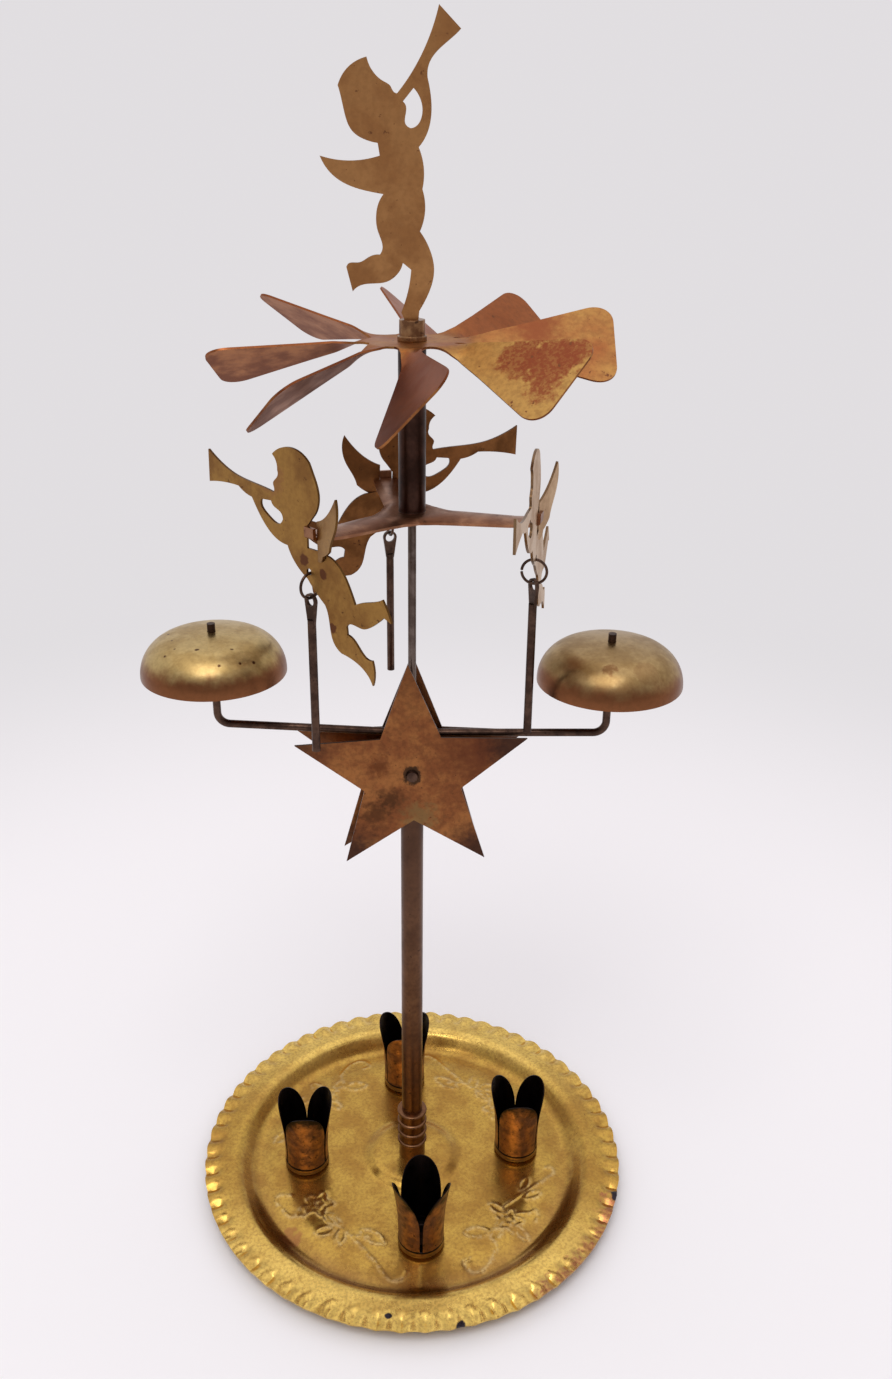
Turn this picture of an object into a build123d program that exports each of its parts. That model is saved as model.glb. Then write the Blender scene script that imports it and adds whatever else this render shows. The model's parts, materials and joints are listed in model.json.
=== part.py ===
from build123d import *
from math import atan2, cos, degrees, radians, sin, sqrt, tan
import os

os.makedirs("parts", exist_ok=True)

# Angel chime carousel in sheet and drawn brass. Millimetres and degrees.
# X runs to the viewer's right, Y away from the viewer and Z up. The tray stands on Z = 0.
# Azimuths are measured about Z from +X, counter-clockwise from above.

# Clearances
running_gap = 0.08  # radial, round a shaft that something turns on
seat_gap = 0.05  # between pieces that are pressed, pinched or riveted together
hang_gap = 0.10  # slack where one loop or cap hangs on another
strike_gap = 0.30  # between a hanging striker and the edge of a bell

# Tray
tray_radius = 62.5
tray_sheet = 0.7
tray_foot_lift = 1.0  # underside of the floor above the table
tray_level_radius = 39.0  # the floor is level out to here, and then slopes down to the foot ring
tray_foot_radius = 46.8  # middle of the pressed ring that the tray stands on
tray_foot_width = 2.0
tray_wall_run = 4.6  # how far the wall leans out
tray_wall_rise = 3.9
tray_rim_drop = 0.9  # the flange falls away to its edge
tray_press_radius = 0.8  # rounding of the pressed bends
boss_radius = 13.8
boss_rise = 1.6
scallop_count = 60
scallop_depth = 0.7

# Candle cups
cup_count = 4
cup_pitch_radius = 32.0
cup_turn = 4.5  # azimuth of the right-hand cup
cup_bore_radius = 6.1
cup_sheet = 0.35
cup_corner = 0.8  # inside rounding at the foot of the wall
cup_wall_height = 10.0
cup_height = 24.0
cup_flare = 1.9  # petal tips stand this far outside the wall
cup_petals = 3
cup_petal_turns = (30.0, 30.0, 30.0, 90.0)  # azimuth of a petal: right, back, left, front cup
petal_half_width = 5.5
petal_shoulder = 4.8  # a petal's sides are upright this far above the foot of the slots
cup_rivet_radius = 1.2
cup_rivet_head_radius = 2.2
cup_rivet_head = 0.6

# Pole and its ferrule
pole_radius = 3.0
pole_wall = 0.6
pole_length = 147.3
ferrule_radius = 3.9
ferrule_height = 17.0
ferrule_floor = 2.5
ferrule_rings = 4
ferrule_ring_pitch = 3.7
ferrule_ring_radius = 0.5
screw_radius = 1.4
screw_head_radius = 3.2
screw_head = 1.2
screw_slot = 0.8

# Crossbar, bells and stars
wire_radius = 1.0
bar_below_pole_top = 7.0
bar_rise_left = 2.7  # the left arm is bent up by hand
bar_bend_radius = 3.2
bar_middle_bend = 60.0
bar_hole_gap = 0.25
bell_reach = 49.6
bell_lift = 24.3  # shoulder under the bell above the end of the bar
bell_radius = 18.2
bell_height = 10.8
bell_wall = 0.8
bell_skirt = 0.3
bell_shoulder_radius = 9.6
pin_shoulder_radius = 1.9
pin_shoulder = 0.9
pin_proud = 2.1
star_drop = 10.7  # rivet below the bar
star_radius = 31.2
star_notch_radius = 13.2
star_points = 5
star_leans = (2.0, 0.0)  # front and back plate, turned to the left
star_sheet = 0.6
star_rivet_radius = 1.0
star_rivet_head_radius = 1.7
star_rivet_head = 0.8
star_rivet_taper = 20.0

# Needle and its bearing
needle_radius = 1.0
needle_point = 4.0
plug_above_bar = 0.5
pivot_cone = 2.0
pivot_length = 3.5

# Carousel
carousel_lift = 58.6  # top of the spider above the bar
tube_radius = 3.2
tube_wall = 0.6
tube_length = 38.5
tube_neck_radius = 2.9
tube_lip_radius = 3.7
tube_lip = 0.5
spider_sheet = 0.8
spider_turn = -17.0  # azimuth of the right-hand arm
spider_arms = 3
arm_root_half_width = 5.4
arm_end_half_width = 3.3
arm_root_fillet = 7.0
arm_tab_half_width = 1.6
arm_tab_fold = 2.8
collar_flange_radius = 3.3
collar_flange = 1.0
collar_radius = 2.9
collar_height = 3.5
collar_stem = 3.0
foot_tang_half_width = 1.4
foot_tang = 2.6

# Fan
fan_sheet = 0.5
fan_blades = 8
fan_hub_radius = 12.6
fan_notch_radius = 2.6
blade_bend_radius = 11.0  # where a blade starts to droop and turn
blade_neck_radius = 16.0
blade_flat_radius = 24.0  # from here out a blade is flat
blade_tip_radius = 45.3
blade_neck_half_width = 2.5
blade_flat_half_width = 5.0
blade_tip_half_width = 12.3
blade_corner = 6.0
# Each blade is turned and bent down by hand, from the right-hand one counter-clockwise.
blade_turn = (40, 38, 40, 34, 28, 36, 48, 41)
blade_droop = (1, 0, -1, -3, 10, 17, 13, 6)

# Angels, rings and strikers
angel_sheet = 0.6
angel_toe_in = 4.0  # the feet stand in from the tangent by this angle
angel_dips = (5.0, 3.5, 0.0)  # how far the right, back and left angel hang nose down
angel_slot_gap = 0.08  # beside the tab in the slit between body and wing
angel_slot_drop = 2.7  # foot of the slit below the tab
wing_set_back = 0.1  # bend of the wing behind the slit
wing_bend = 18.0
ring_hole_forward = 1.4
ring_hole_drop = 8.2
ring_hole_radius = 0.8
ring_wire_radius = 0.35
ring_radius = 2.95
striker_radius = 1.0
striker_eye_radius = 1.2
striker_head_radius = 1.8
striker_head_sheet = 0.8
striker_head_length = 5.5
striker_above_bar = 2.2
striker_head_yaw = (40.0, 0.0, 0.0)
striker_eye_slack = (0.20, 0.0, 0.0)  # more room over the wire for a head that is turned on its ring

# Heights that follow
floor_top = tray_foot_lift + tray_sheet
boss_top = floor_top + boss_rise
cup_floor = floor_top + cup_sheet
cup_radius = cup_bore_radius + cup_sheet
cup_rivet_hole = cup_rivet_radius + seat_gap
screw_hole = screw_radius + seat_gap
pole_bottom = boss_top + ferrule_floor
pole_top = pole_bottom + pole_length
bar_height = pole_top - bar_below_pole_top
star_height = bar_height - star_drop
spider_top = bar_height + carousel_lift
spider_middle = spider_top - spider_sheet / 2
tube_top = spider_top + tube_length
fan_top = tube_top + fan_sheet
collar_top = fan_top + collar_flange + collar_height
striker_bottom = bar_height + bar_rise_left + striker_above_bar
strike_circle = bell_reach - bell_radius - strike_gap - striker_radius
hole_out = ring_hole_forward * sin(radians(angel_toe_in))
hole_along = ring_hole_forward * cos(radians(angel_toe_in))
plate_radius = sqrt(strike_circle**2 - hole_along**2) - hole_out
star_face = pole_radius + seat_gap
arm_azimuths = [spider_turn + 360 / spider_arms * arm for arm in range(spider_arms)]


def finish(piece, name):
    """Label a finished piece and write its STEP file."""
    piece.part.label = name
    export_step(piece.part, f"parts/{name}.step")


def around(radius, azimuth, height=0.0):
    """The point at this radius, azimuth and height about the pole's axis."""
    return (radius * cos(radians(azimuth)), radius * sin(radians(azimuth)), height)


def upright(x, y, z):
    """An upright plane through this point that faces the viewer: X to the right, Z up."""
    return Plane((x, y, z), x_dir=(1, 0, 0), z_dir=(0, -1, 0))


def tilted(plane, x=0.0, y=0.0, z=0.0):
    """This plane turned about its own axes by these angles."""
    return Plane(plane * Rotation(x, y, z))


def trace(runs):
    """Draw an outline run by run: two points make a line, more make a smooth curve."""
    for run in runs:
        if len(run) == 2:
            Line(*run)
        else:
            Spline(*run)


# Tray: a shallow pressed dish with a boss, a foot ring, a flange and a scalloped edge
foot_inner = tray_foot_radius - tray_foot_width / 2
foot_outer = tray_foot_radius + tray_foot_width / 2
wall_top = foot_outer + tray_wall_run
flange_height = tray_foot_lift + tray_wall_rise
tray_line = [
    (screw_hole, tray_foot_lift + boss_rise),
    (boss_radius - boss_rise, tray_foot_lift + boss_rise),
    (boss_radius, tray_foot_lift),
    (tray_level_radius, tray_foot_lift),
    (foot_inner, 0),
    (foot_outer, 0),
    (wall_top, flange_height),
    (tray_radius, flange_height - tray_rim_drop),
]
tray_line_top = [(r, z + tray_sheet) for r, z in tray_line]
scallop_pitch = 360 / scallop_count
scallop_half_chord = tray_radius * sin(radians(scallop_pitch / 2))
scallop_radius = (scallop_half_chord**2 + scallop_depth**2) / (2 * scallop_depth)
scallop_centre = tray_radius * cos(radians(scallop_pitch / 2)) - scallop_depth + scallop_radius
cup_places = [
    around(cup_pitch_radius, cup_turn + 360 / cup_count * k) for k in range(cup_count)
]
with BuildPart() as tray:
    with BuildSketch(Plane.XZ):
        with BuildLine():
            under = FilletPolyline(*tray_line, radius=tray_press_radius)
            over = FilletPolyline(*tray_line_top, radius=tray_press_radius)
            Line(under @ 0, over @ 0)
            Line(under @ 1, over @ 1)
        make_face()
    revolve(axis=Axis.Z)
    with BuildSketch(Plane.XY):
        with PolarLocations(scallop_centre, scallop_count, scallop_pitch / 2):
            Circle(scallop_radius)
    extrude(amount=flange_height + tray_sheet, mode=Mode.SUBTRACT)
    with BuildSketch(Plane.XY):
        with Locations(*cup_places):
            Circle(cup_rivet_hole)
    extrude(amount=floor_top, mode=Mode.SUBTRACT)
finish(tray, "tray")

# Candle cups: a drawn cup whose wall is cut into three petals that lean out
petal_foot = floor_top + cup_wall_height
petal_top = floor_top + cup_height
cup_names = ("candle_cup_right", "candle_cup_back", "candle_cup_left", "candle_cup_front")
for name, place, petal_turn in zip(cup_names, cup_places, cup_petal_turns):
    x, y, _ = place
    # What is kept of the cup: the whole wall below the slots, and an arched outline for each petal.
    with BuildPart() as kept:
        with BuildSketch(Plane((x, y, 0))):
            Circle(cup_radius + cup_flare)
        extrude(amount=petal_foot)
        for petal in range(cup_petals):
            azimuth = petal_turn + 360 / cup_petals * petal
            side = Plane((x, y, petal_foot), x_dir=around(1, azimuth + 90), z_dir=around(1, azimuth))
            with BuildSketch(side):
                with Locations((0, petal_shoulder)):
                    Ellipse(petal_half_width, petal_top - petal_foot - petal_shoulder)
                with Locations((0, petal_shoulder / 2)):
                    Rectangle(2 * petal_half_width, petal_shoulder)
            extrude(amount=cup_radius + cup_flare)
    wall_foot = (cup_radius, petal_foot)
    bore_foot = (cup_bore_radius, petal_foot)
    with BuildPart() as cup:
        with BuildSketch(upright(x, y, 0)):
            with BuildLine():
                flared = TangentArc(wall_foot, (cup_radius + cup_flare, petal_top), tangent=(0, 1))
                inner = TangentArc(
                    bore_foot, (cup_bore_radius + cup_flare, petal_top), tangent=(0, 1)
                )
                Line(flared @ 1, inner @ 1)
                bore = FilletPolyline(
                    (cup_rivet_hole, cup_floor),
                    (cup_bore_radius, cup_floor),
                    bore_foot,
                    radius=cup_corner,
                )
                wall = FilletPolyline(
                    (cup_rivet_hole, floor_top),
                    (cup_radius, floor_top),
                    wall_foot,
                    radius=cup_corner + cup_sheet,
                )
                Line(bore @ 0, wall @ 0)
            make_face()
        revolve(axis=Axis((x, y, 0), (0, 0, 1)))
        add(kept.part, mode=Mode.INTERSECT)
    finish(cup, name)

# Rivets that hold the cups to the tray, as one group of separate solids
with BuildPart() as cup_rivets:
    with BuildSketch(Plane.XY.offset(tray_foot_lift - cup_rivet_head)):
        with Locations(*cup_places):
            Circle(cup_rivet_head_radius)
    extrude(amount=cup_rivet_head - seat_gap)
    with BuildSketch(Plane.XY.offset(tray_foot_lift - cup_rivet_head)):
        with Locations(*cup_places):
            Circle(cup_rivet_radius)
    extrude(amount=cup_floor + cup_rivet_head - tray_foot_lift + cup_rivet_head)
    with BuildSketch(Plane.XY.offset(cup_floor + seat_gap)):
        with Locations(*cup_places):
            Circle(cup_rivet_head_radius)
    extrude(amount=cup_rivet_head - seat_gap)
finish(cup_rivets, "cup_rivets")

# Ferrule: a turned socket with rings, screwed down on the boss from below
pole_socket = pole_radius + seat_gap
ferrule_ring_start = boss_top + ferrule_height - ferrule_ring_radius
with BuildPart() as ferrule:
    with BuildSketch(Plane.XZ):
        with BuildLine():
            Polyline(
                (screw_hole, boss_top),
                (ferrule_radius, boss_top),
                (ferrule_radius, boss_top + ferrule_height),
                (pole_socket, boss_top + ferrule_height),
                (pole_socket, pole_bottom),
                (screw_hole, pole_bottom),
                close=True,
            )
        make_face()
        for ring in range(ferrule_rings):
            with Locations((ferrule_radius, ferrule_ring_start - ring * ferrule_ring_pitch)):
                Circle(ferrule_ring_radius)
    revolve(axis=Axis.Z)
finish(ferrule, "pole_ferrule")

screw_seat = tray_foot_lift + boss_rise
with BuildPart() as ferrule_screw:
    with BuildSketch(Plane.XY.offset(screw_seat - screw_head)):
        Circle(screw_head_radius)
    extrude(amount=screw_head)
    with BuildSketch(Plane.XY.offset(screw_seat)):
        Circle(screw_radius)
    extrude(amount=pole_bottom - screw_seat - seat_gap)
    with BuildSketch(Plane.XY.offset(screw_seat - screw_head)):
        Rectangle(2 * screw_head_radius, screw_slot)
    extrude(amount=screw_head / 2, mode=Mode.SUBTRACT)
finish(ferrule_screw, "ferrule_screw")

# Pole: a tube with cross holes for the bar and for the stars' rivet
pole_bore = pole_radius - pole_wall
with BuildPart() as pole:
    with BuildSketch(Plane.XY.offset(pole_bottom)):
        Circle(pole_radius)
        Circle(pole_bore, mode=Mode.SUBTRACT)
    extrude(amount=pole_length)
    with BuildSketch(Plane.YZ):
        with Locations((0, bar_height)):
            Circle(wire_radius + bar_hole_gap)
    extrude(amount=pole_radius, both=True, mode=Mode.SUBTRACT)
    with BuildSketch(Plane.XZ):
        with Locations((0, star_height)):
            Circle(star_rivet_radius + seat_gap)
    extrude(amount=pole_radius, both=True, mode=Mode.SUBTRACT)
finish(pole, "pole_tube")

# Stars: two leaning plates on either side of the pole, held by one rivet
for name, side, lean in zip(("star_front", "star_back"), (1, -1), star_leans):
    star_outline = []
    for corner in range(2 * star_points):
        reach = star_notch_radius if corner % 2 else star_radius
        azimuth = 90 + lean + 180 / star_points * corner
        star_outline.append((reach * cos(radians(azimuth)), reach * sin(radians(azimuth))))
    with BuildPart() as star:
        with BuildSketch(upright(0, -side * star_face, star_height)):
            Polygon(*star_outline, align=None)
            Circle(star_rivet_radius + seat_gap, mode=Mode.SUBTRACT)
        extrude(amount=side * star_sheet)
    finish(star, name)

rivet_reach = star_face + star_sheet + seat_gap
with BuildPart() as star_rivet:
    with BuildSketch(upright(0, 0, star_height)):
        Circle(star_rivet_radius)
    extrude(amount=rivet_reach, both=True)
    for side in (1, -1):
        with BuildSketch(upright(0, -side * rivet_reach, star_height)):
            Circle(star_rivet_head_radius)
        extrude(amount=side * star_rivet_head, taper=star_rivet_taper)
finish(star_rivet, "star_rivet")

# Crossbar: one wire through the pole, its ends bent up into pins with a swaged shoulder
bar_ends = (("left", -bell_reach, bar_rise_left), ("right", bell_reach, 0.0))
shoulder_tops = {side: bar_height + rise + bell_lift for side, _, rise in bar_ends}
pin_tops = {
    side: top + hang_gap + bell_wall + pin_proud for side, top in shoulder_tops.items()
}
with BuildPart() as crossbar:
    with BuildLine(Plane.XZ) as bar_line:
        FilletPolyline(
            (-bell_reach, pin_tops["left"]),
            (-bell_reach, bar_height + bar_rise_left),
            (0, bar_height),
            (bell_reach, bar_height),
            (bell_reach, pin_tops["right"]),
            radius=[bar_bend_radius, bar_middle_bend, bar_bend_radius],
        )
    with BuildSketch(Plane((-bell_reach, 0, pin_tops["left"]), z_dir=(0, 0, -1))):
        Circle(wire_radius)
    sweep(path=bar_line.wire())
    for side, x, _ in bar_ends:
        with BuildSketch(Plane((x, 0, shoulder_tops[side] - pin_shoulder))):
            Circle(pin_shoulder_radius)
        extrude(amount=pin_shoulder)
finish(crossbar, "crossbar")

# Bells: spun domes of two tangent arcs over a short upright skirt
shoulder_in = bell_radius - bell_shoulder_radius
shoulder_down = bell_skirt - bell_height
crown_radius = (bell_shoulder_radius**2 - shoulder_in**2 - shoulder_down**2) / (
    2 * (shoulder_down + bell_shoulder_radius)
)
crown_centre = bell_height - crown_radius
meeting = degrees(atan2(bell_skirt - crown_centre, shoulder_in))


def dome_line(inset, hole, rim):
    """Half of the dome's section, set in by inset, from its rim at height rim to the hole's edge."""
    shoulder = bell_shoulder_radius - inset
    crown = crown_radius - inset
    foot = (bell_radius - inset, rim + bell_skirt)
    middle = meeting / 2
    bend = (
        shoulder_in + shoulder * cos(radians(middle)),
        rim + bell_skirt + shoulder * sin(radians(middle)),
    )
    join = (
        crown * cos(radians(meeting)),
        rim + crown_centre + crown * sin(radians(meeting)),
    )
    high = (meeting + 90) / 2
    rise = (crown * cos(radians(high)), rim + crown_centre + crown * sin(radians(high)))
    top = (hole, rim + crown_centre + sqrt(crown**2 - hole**2))
    Line((bell_radius - inset, rim), foot)
    ThreePointArc(foot, bend, join)
    ThreePointArc(join, rise, top)
    return top


bell_hole = wire_radius + running_gap
for side, x, _ in bar_ends:
    rim = shoulder_tops[side] + hang_gap - (bell_height - bell_wall)
    with BuildPart() as bell:
        with BuildSketch(upright(x, 0, 0)):
            with BuildLine():
                outer_top = dome_line(0, bell_hole, rim)
                inner_top = dome_line(bell_wall, bell_hole, rim)
                Line(outer_top, inner_top)
                Line((bell_radius, rim), (bell_radius - bell_wall, rim))
            make_face()
        revolve(axis=Axis((x, 0, 0), (0, 0, 1)))
    finish(bell, f"bell_{side}")

# Needle and the plug that holds it in the top of the pole
plug_bottom = bar_height + wire_radius + plug_above_bar
pivot_apex = tube_top - collar_stem - pivot_length + pivot_cone
needle_top = pivot_apex - hang_gap
with BuildPart() as needle_plug:
    with BuildSketch(Plane.XY.offset(plug_bottom)):
        Circle(pole_bore - seat_gap)
        Circle(needle_radius + seat_gap, mode=Mode.SUBTRACT)
    extrude(amount=pole_top - plug_bottom)
finish(needle_plug, "needle_plug")

with BuildPart() as needle:
    with BuildSketch(Plane.XZ):
        with BuildLine():
            Polyline(
                (0, plug_bottom),
                (needle_radius, plug_bottom),
                (needle_radius, needle_top - needle_point),
                (0, needle_top),
                close=True,
            )
        make_face()
    revolve(axis=Axis.Z)
finish(needle, "needle")

# Carousel tube with a neck and a lip that pinch the spider, and the cup that runs on the needle
tube_bore = tube_radius - tube_wall
spider_bottom = spider_top - spider_sheet
lip_top = spider_bottom - seat_gap
with BuildPart() as carousel_tube:
    with BuildSketch(Plane.XZ):
        with BuildLine():
            Polyline(
                (tube_bore, tube_top),
                (tube_radius, tube_top),
                (tube_radius, spider_top + seat_gap),
                (tube_neck_radius, spider_top + seat_gap),
                (tube_neck_radius, lip_top),
                (tube_lip_radius, lip_top),
                (tube_lip_radius, lip_top - tube_lip),
                (tube_bore, lip_top - tube_lip),
                close=True,
            )
        make_face()
    revolve(axis=Axis.Z)
finish(carousel_tube, "carousel_tube")

pivot_top = tube_top - collar_stem
with BuildPart() as pivot_cup:
    with BuildSketch(Plane.XZ):
        with BuildLine():
            Polyline(
                (0, pivot_top),
                (tube_bore - seat_gap, pivot_top),
                (tube_bore - seat_gap, pivot_top - pivot_length),
                (pivot_cone, pivot_top - pivot_length),
                (0, pivot_apex),
                close=True,
            )
        make_face()
    revolve(axis=Axis.Z)
finish(pivot_cup, "pivot_cup")

# Spider: three tapering arms with round roots, each ending in a tab folded over an angel
toe_slope = tan(radians(angel_toe_in))
arm_end = plate_radius - angel_sheet / 2 - seat_gap - arm_end_half_width * toe_slope
tab_end = plate_radius + angel_sheet / 2 + seat_gap + arm_tab_half_width * toe_slope
with BuildPart() as spider:
    with BuildSketch(Plane.XY.offset(spider_bottom)) as spider_plan:
        with PolarLocations(0, spider_arms, spider_turn):
            Polygon(
                (0, -arm_root_half_width),
                (arm_end, -arm_end_half_width),
                (arm_end, arm_end_half_width),
                (0, arm_root_half_width),
                align=None,
            )
        inner_corners = spider_plan.vertices().sort_by_distance((0, 0, spider_bottom))
        fillet(inner_corners[:spider_arms], radius=arm_root_fillet)
        Circle(tube_neck_radius + seat_gap, mode=Mode.SUBTRACT)
    extrude(amount=spider_sheet)
    with BuildSketch(Plane.XY.offset(spider_bottom)):
        with PolarLocations(arm_end, spider_arms, spider_turn):
            with Locations(((tab_end + spider_sheet - arm_end) / 2, 0)):
                Rectangle(tab_end + spider_sheet - arm_end, 2 * arm_tab_half_width)
    extrude(amount=spider_sheet)
    with BuildSketch(Plane.XY.offset(spider_bottom)):
        with PolarLocations(tab_end + spider_sheet / 2, spider_arms, spider_turn):
            Rectangle(spider_sheet, 2 * arm_tab_half_width)
    extrude(amount=spider_sheet + arm_tab_fold)
finish(spider, "spider")

# Fan: a notched hub with eight blades, each a twisted neck and a flat paddle with round corners
stem_radius = tube_bore - seat_gap
fan_middle = fan_top - fan_sheet / 2


def blade_planes(azimuth, turn, droop):
    """The planes across a blade where it leaves the hub, at its neck and where it gets flat."""
    level = Plane(
        around(blade_bend_radius, azimuth, fan_middle),
        x_dir=around(1, azimuth + 90),
        z_dir=around(1, azimuth),
    )
    along = tilted(level, x=droop)
    neck = tilted(along.offset(blade_neck_radius - blade_bend_radius), z=turn / 2)
    flat = tilted(along.offset(blade_flat_radius - blade_bend_radius), z=turn)
    return level.offset(-fan_sheet), neck, flat


with BuildPart() as fan:
    with BuildSketch(Plane.XY.offset(tube_top)):
        Circle(fan_hub_radius)
        Circle(stem_radius + seat_gap, mode=Mode.SUBTRACT)
        with PolarLocations(fan_hub_radius, fan_blades, 180 / fan_blades):
            Circle(fan_notch_radius, mode=Mode.SUBTRACT)
    extrude(amount=fan_sheet)
    for blade, (turn, droop) in enumerate(zip(blade_turn, blade_droop)):
        level, neck, flat = blade_planes(360 / fan_blades * blade, turn, droop)
        for plane in (level, neck):
            with BuildSketch(plane):
                Rectangle(2 * blade_neck_half_width, fan_sheet)
        with BuildSketch(flat):
            Rectangle(2 * blade_flat_half_width, fan_sheet)
        loft()
        reach = blade_tip_radius - blade_flat_radius
        with BuildSketch(Plane(flat.origin, x_dir=flat.z_dir, z_dir=-flat.y_dir)) as paddle:
            Polygon(
                (0, -blade_flat_half_width),
                (reach, -blade_tip_half_width),
                (reach, blade_tip_half_width),
                (0, blade_flat_half_width),
                align=None,
            )
            fillet(paddle.vertices().sort_by_distance(flat.origin)[-2:], radius=blade_corner)
        extrude(amount=fan_sheet / 2, both=True)
finish(fan, "fan")

# Collar: clamps the fan to the tube and holds the foot of the top angel in its slot
with BuildPart() as collar:
    with BuildSketch(Plane.XZ):
        with BuildLine():
            Polyline(
                (0, pivot_top + seat_gap),
                (stem_radius, pivot_top + seat_gap),
                (stem_radius, fan_top),
                (collar_flange_radius, fan_top),
                (collar_flange_radius, fan_top + collar_flange),
                (collar_radius, fan_top + collar_flange),
                (collar_radius, collar_top),
                (0, collar_top),
                close=True,
            )
        make_face()
    revolve(axis=Axis.Z)
    with BuildSketch(Plane.XY.offset(collar_top)):
        Rectangle(2 * (foot_tang_half_width + seat_gap), angel_sheet + 2 * seat_gap)
    extrude(amount=-(foot_tang + seat_gap), mode=Mode.SUBTRACT)
finish(collar, "top_collar")

# Top angel, cut from sheet: outline from the trumpet's mouth clockwise, about the foot
top_angel_runs = (
    ((5.4, 60.8), (9.9, 56.5)),
    ((9.9, 56.5), (6.9, 54.0), (4.0, 51.2), (3.2, 47.6)),
    ((3.2, 47.6), (4.0, 43.0), (3.6, 38.6), (1.4, 34.7)),
    ((1.4, 34.7), (2.5, 30.5), (2.2, 26.6)),
    ((2.2, 26.6), (2.8, 22.5), (1.7, 18.2)),
    ((1.7, 18.2), (3.9, 14.4), (4.8, 10.4), (3.4, 5.0), (1.6, 1.8)),
    ((1.6, 1.8), (foot_tang_half_width, 0)),
    ((foot_tang_half_width, 0), (-1.7, 0)),
    ((-1.7, 0), (-2.4, 1.5)),
    ((-2.4, 1.5), (-1.0, 5.5), (-0.2, 10.4)),
    ((-0.2, 10.4), (-2.0, 11.8)),
    ((-2.0, 11.8), (-3.1, 9.6), (-5.6, 7.9), (-11.2, 7.2), (-13.0, 5.9)),
    ((-13.0, 5.9), (-14.3, 11.0)),
    ((-14.3, 11.0), (-13.8, 11.7), (-11.6, 11.9), (-9.4, 13.0), (-7.0, 13.5)),
    ((-7.0, 13.5), (-6.4, 14.8), (-7.4, 18.4), (-7.7, 21.4), (-6.1, 25.6)),
    ((-6.1, 25.6), (-8.4, 26.0), (-14.2, 27.7), (-19.4, 33.1)),
    ((-19.4, 33.1), (-14.5, 32.2), (-6.8, 33.1)),
    ((-6.8, 33.1), (-7.2, 35.5)),
    ((-7.2, 35.5), (-9.4, 36.0), (-12.4, 37.7), (-14.2, 42.0), (-15.3, 46.3)),
    ((-15.3, 46.3), (-13.9, 48.8), (-9.3, 51.5)),
    ((-9.3, 51.5), (-8.3, 49.2), (-6.8, 47.6)),
    ((-6.8, 47.6), (-5.6, 46.9), (-4.5, 46.2), (-3.9, 45.2), (-3.1, 44.8)),
    ((-3.1, 44.8), (-0.1, 48.6), (2.2, 52.4), (5.4, 60.8)),
)
top_arm_hole = (
    ((0.3, 45.8), (1.7, 43.8), (2.1, 41.0), (1.0, 38.8), (-0.3, 38.3)),
    ((-0.3, 38.3), (-1.5, 39.6), (-1.2, 41.9), (-1.9, 43.3)),
    ((-1.9, 43.3), (0.3, 45.8)),
)
with BuildPart() as top_angel:
    with BuildSketch(upright(0, 0, collar_top)):
        with BuildLine():
            trace(top_angel_runs)
        make_face()
        with BuildLine():
            trace(top_arm_hole)
        make_face(mode=Mode.SUBTRACT)
        with Locations((0, -foot_tang / 2)):
            Rectangle(2 * foot_tang_half_width, foot_tang)
    extrude(amount=angel_sheet / 2, both=True)
finish(top_angel, "top_angel")

# Flying angels: outline from the trumpet's mouth, about the arm's tab, forward first and up second
slot_half_width = arm_tab_half_width + angel_slot_gap
slot_bottom = -angel_slot_drop
flying_runs = (
    ((35.0, 14.3), (35.3, 6.6)),
    ((35.3, 6.6), (29.0, 7.4), (24.6, 7.4)),
    ((24.6, 7.4), (22.4, 6.2), (20.0, 5.6)),
    ((20.0, 5.6), (18.0, 2.6), (13.6, -1.8), (8.3, -3.4)),
    ((8.3, -3.4), (6.6, -6.3), (4.4, -8.4), (2.0, -9.9)),
    ((2.0, -9.9), (-0.6, -12.5), (-3.5, -14.8)),
    ((-3.5, -14.8), (-4.6, -17.5), (-5.3, -21.5), (-8.5, -25.2)),
    ((-8.5, -25.2), (-13.5, -26.2), (-16.4, -27.8), (-18.3, -30.3)),
    ((-18.3, -30.3), (-18.8, -27.6), (-18.2, -24.3)),
    ((-18.2, -24.3), (-16.2, -24.2), (-13.6, -22.0), (-10.5, -20.2)),
    ((-10.5, -20.2), (-10.3, -18.3)),
    ((-10.3, -18.3), (-11.2, -17.5), (-15.4, -17.5), (-18.6, -16.0), (-21.9, -13.2)),
    ((-21.9, -13.2), (-24.1, -14.0)),
    ((-24.1, -14.0), (-22.9, -11.4), (-21.5, -9.2)),
    ((-21.5, -9.2), (-20.2, -9.9), (-16.5, -11.1), (-13.1, -12.5)),
    ((-13.1, -12.5), (-11.6, -9.4), (-8.6, -5.2), (-5.4, -3.3)),
    ((-5.4, -3.3), (-slot_half_width, slot_bottom)),
    ((-slot_half_width, slot_bottom), (slot_half_width, slot_bottom)),
    ((slot_half_width, slot_bottom), (slot_half_width, 2.2)),
    ((slot_half_width, 2.2), (-0.4, 4.7)),
    ((-0.4, 4.7), (-1.9, 6.9), (-2.4, 9.8), (-1.4, 13.2), (0.3, 16.6)),
    ((0.3, 16.6), (3.3, 18.6), (6.8, 19.1), (12.2, 16.8)),
    ((12.2, 16.8), (10.9, 15.2), (10.7, 13.4)),
    ((10.7, 13.4), (11.3, 11.4), (12.3, 10.2), (12.0, 9.0), (12.3, 8.1)),
    ((12.3, 8.1), (19.4, 9.0), (26.0, 10.0), (31.2, 12.0), (35.0, 14.3)),
)
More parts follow.
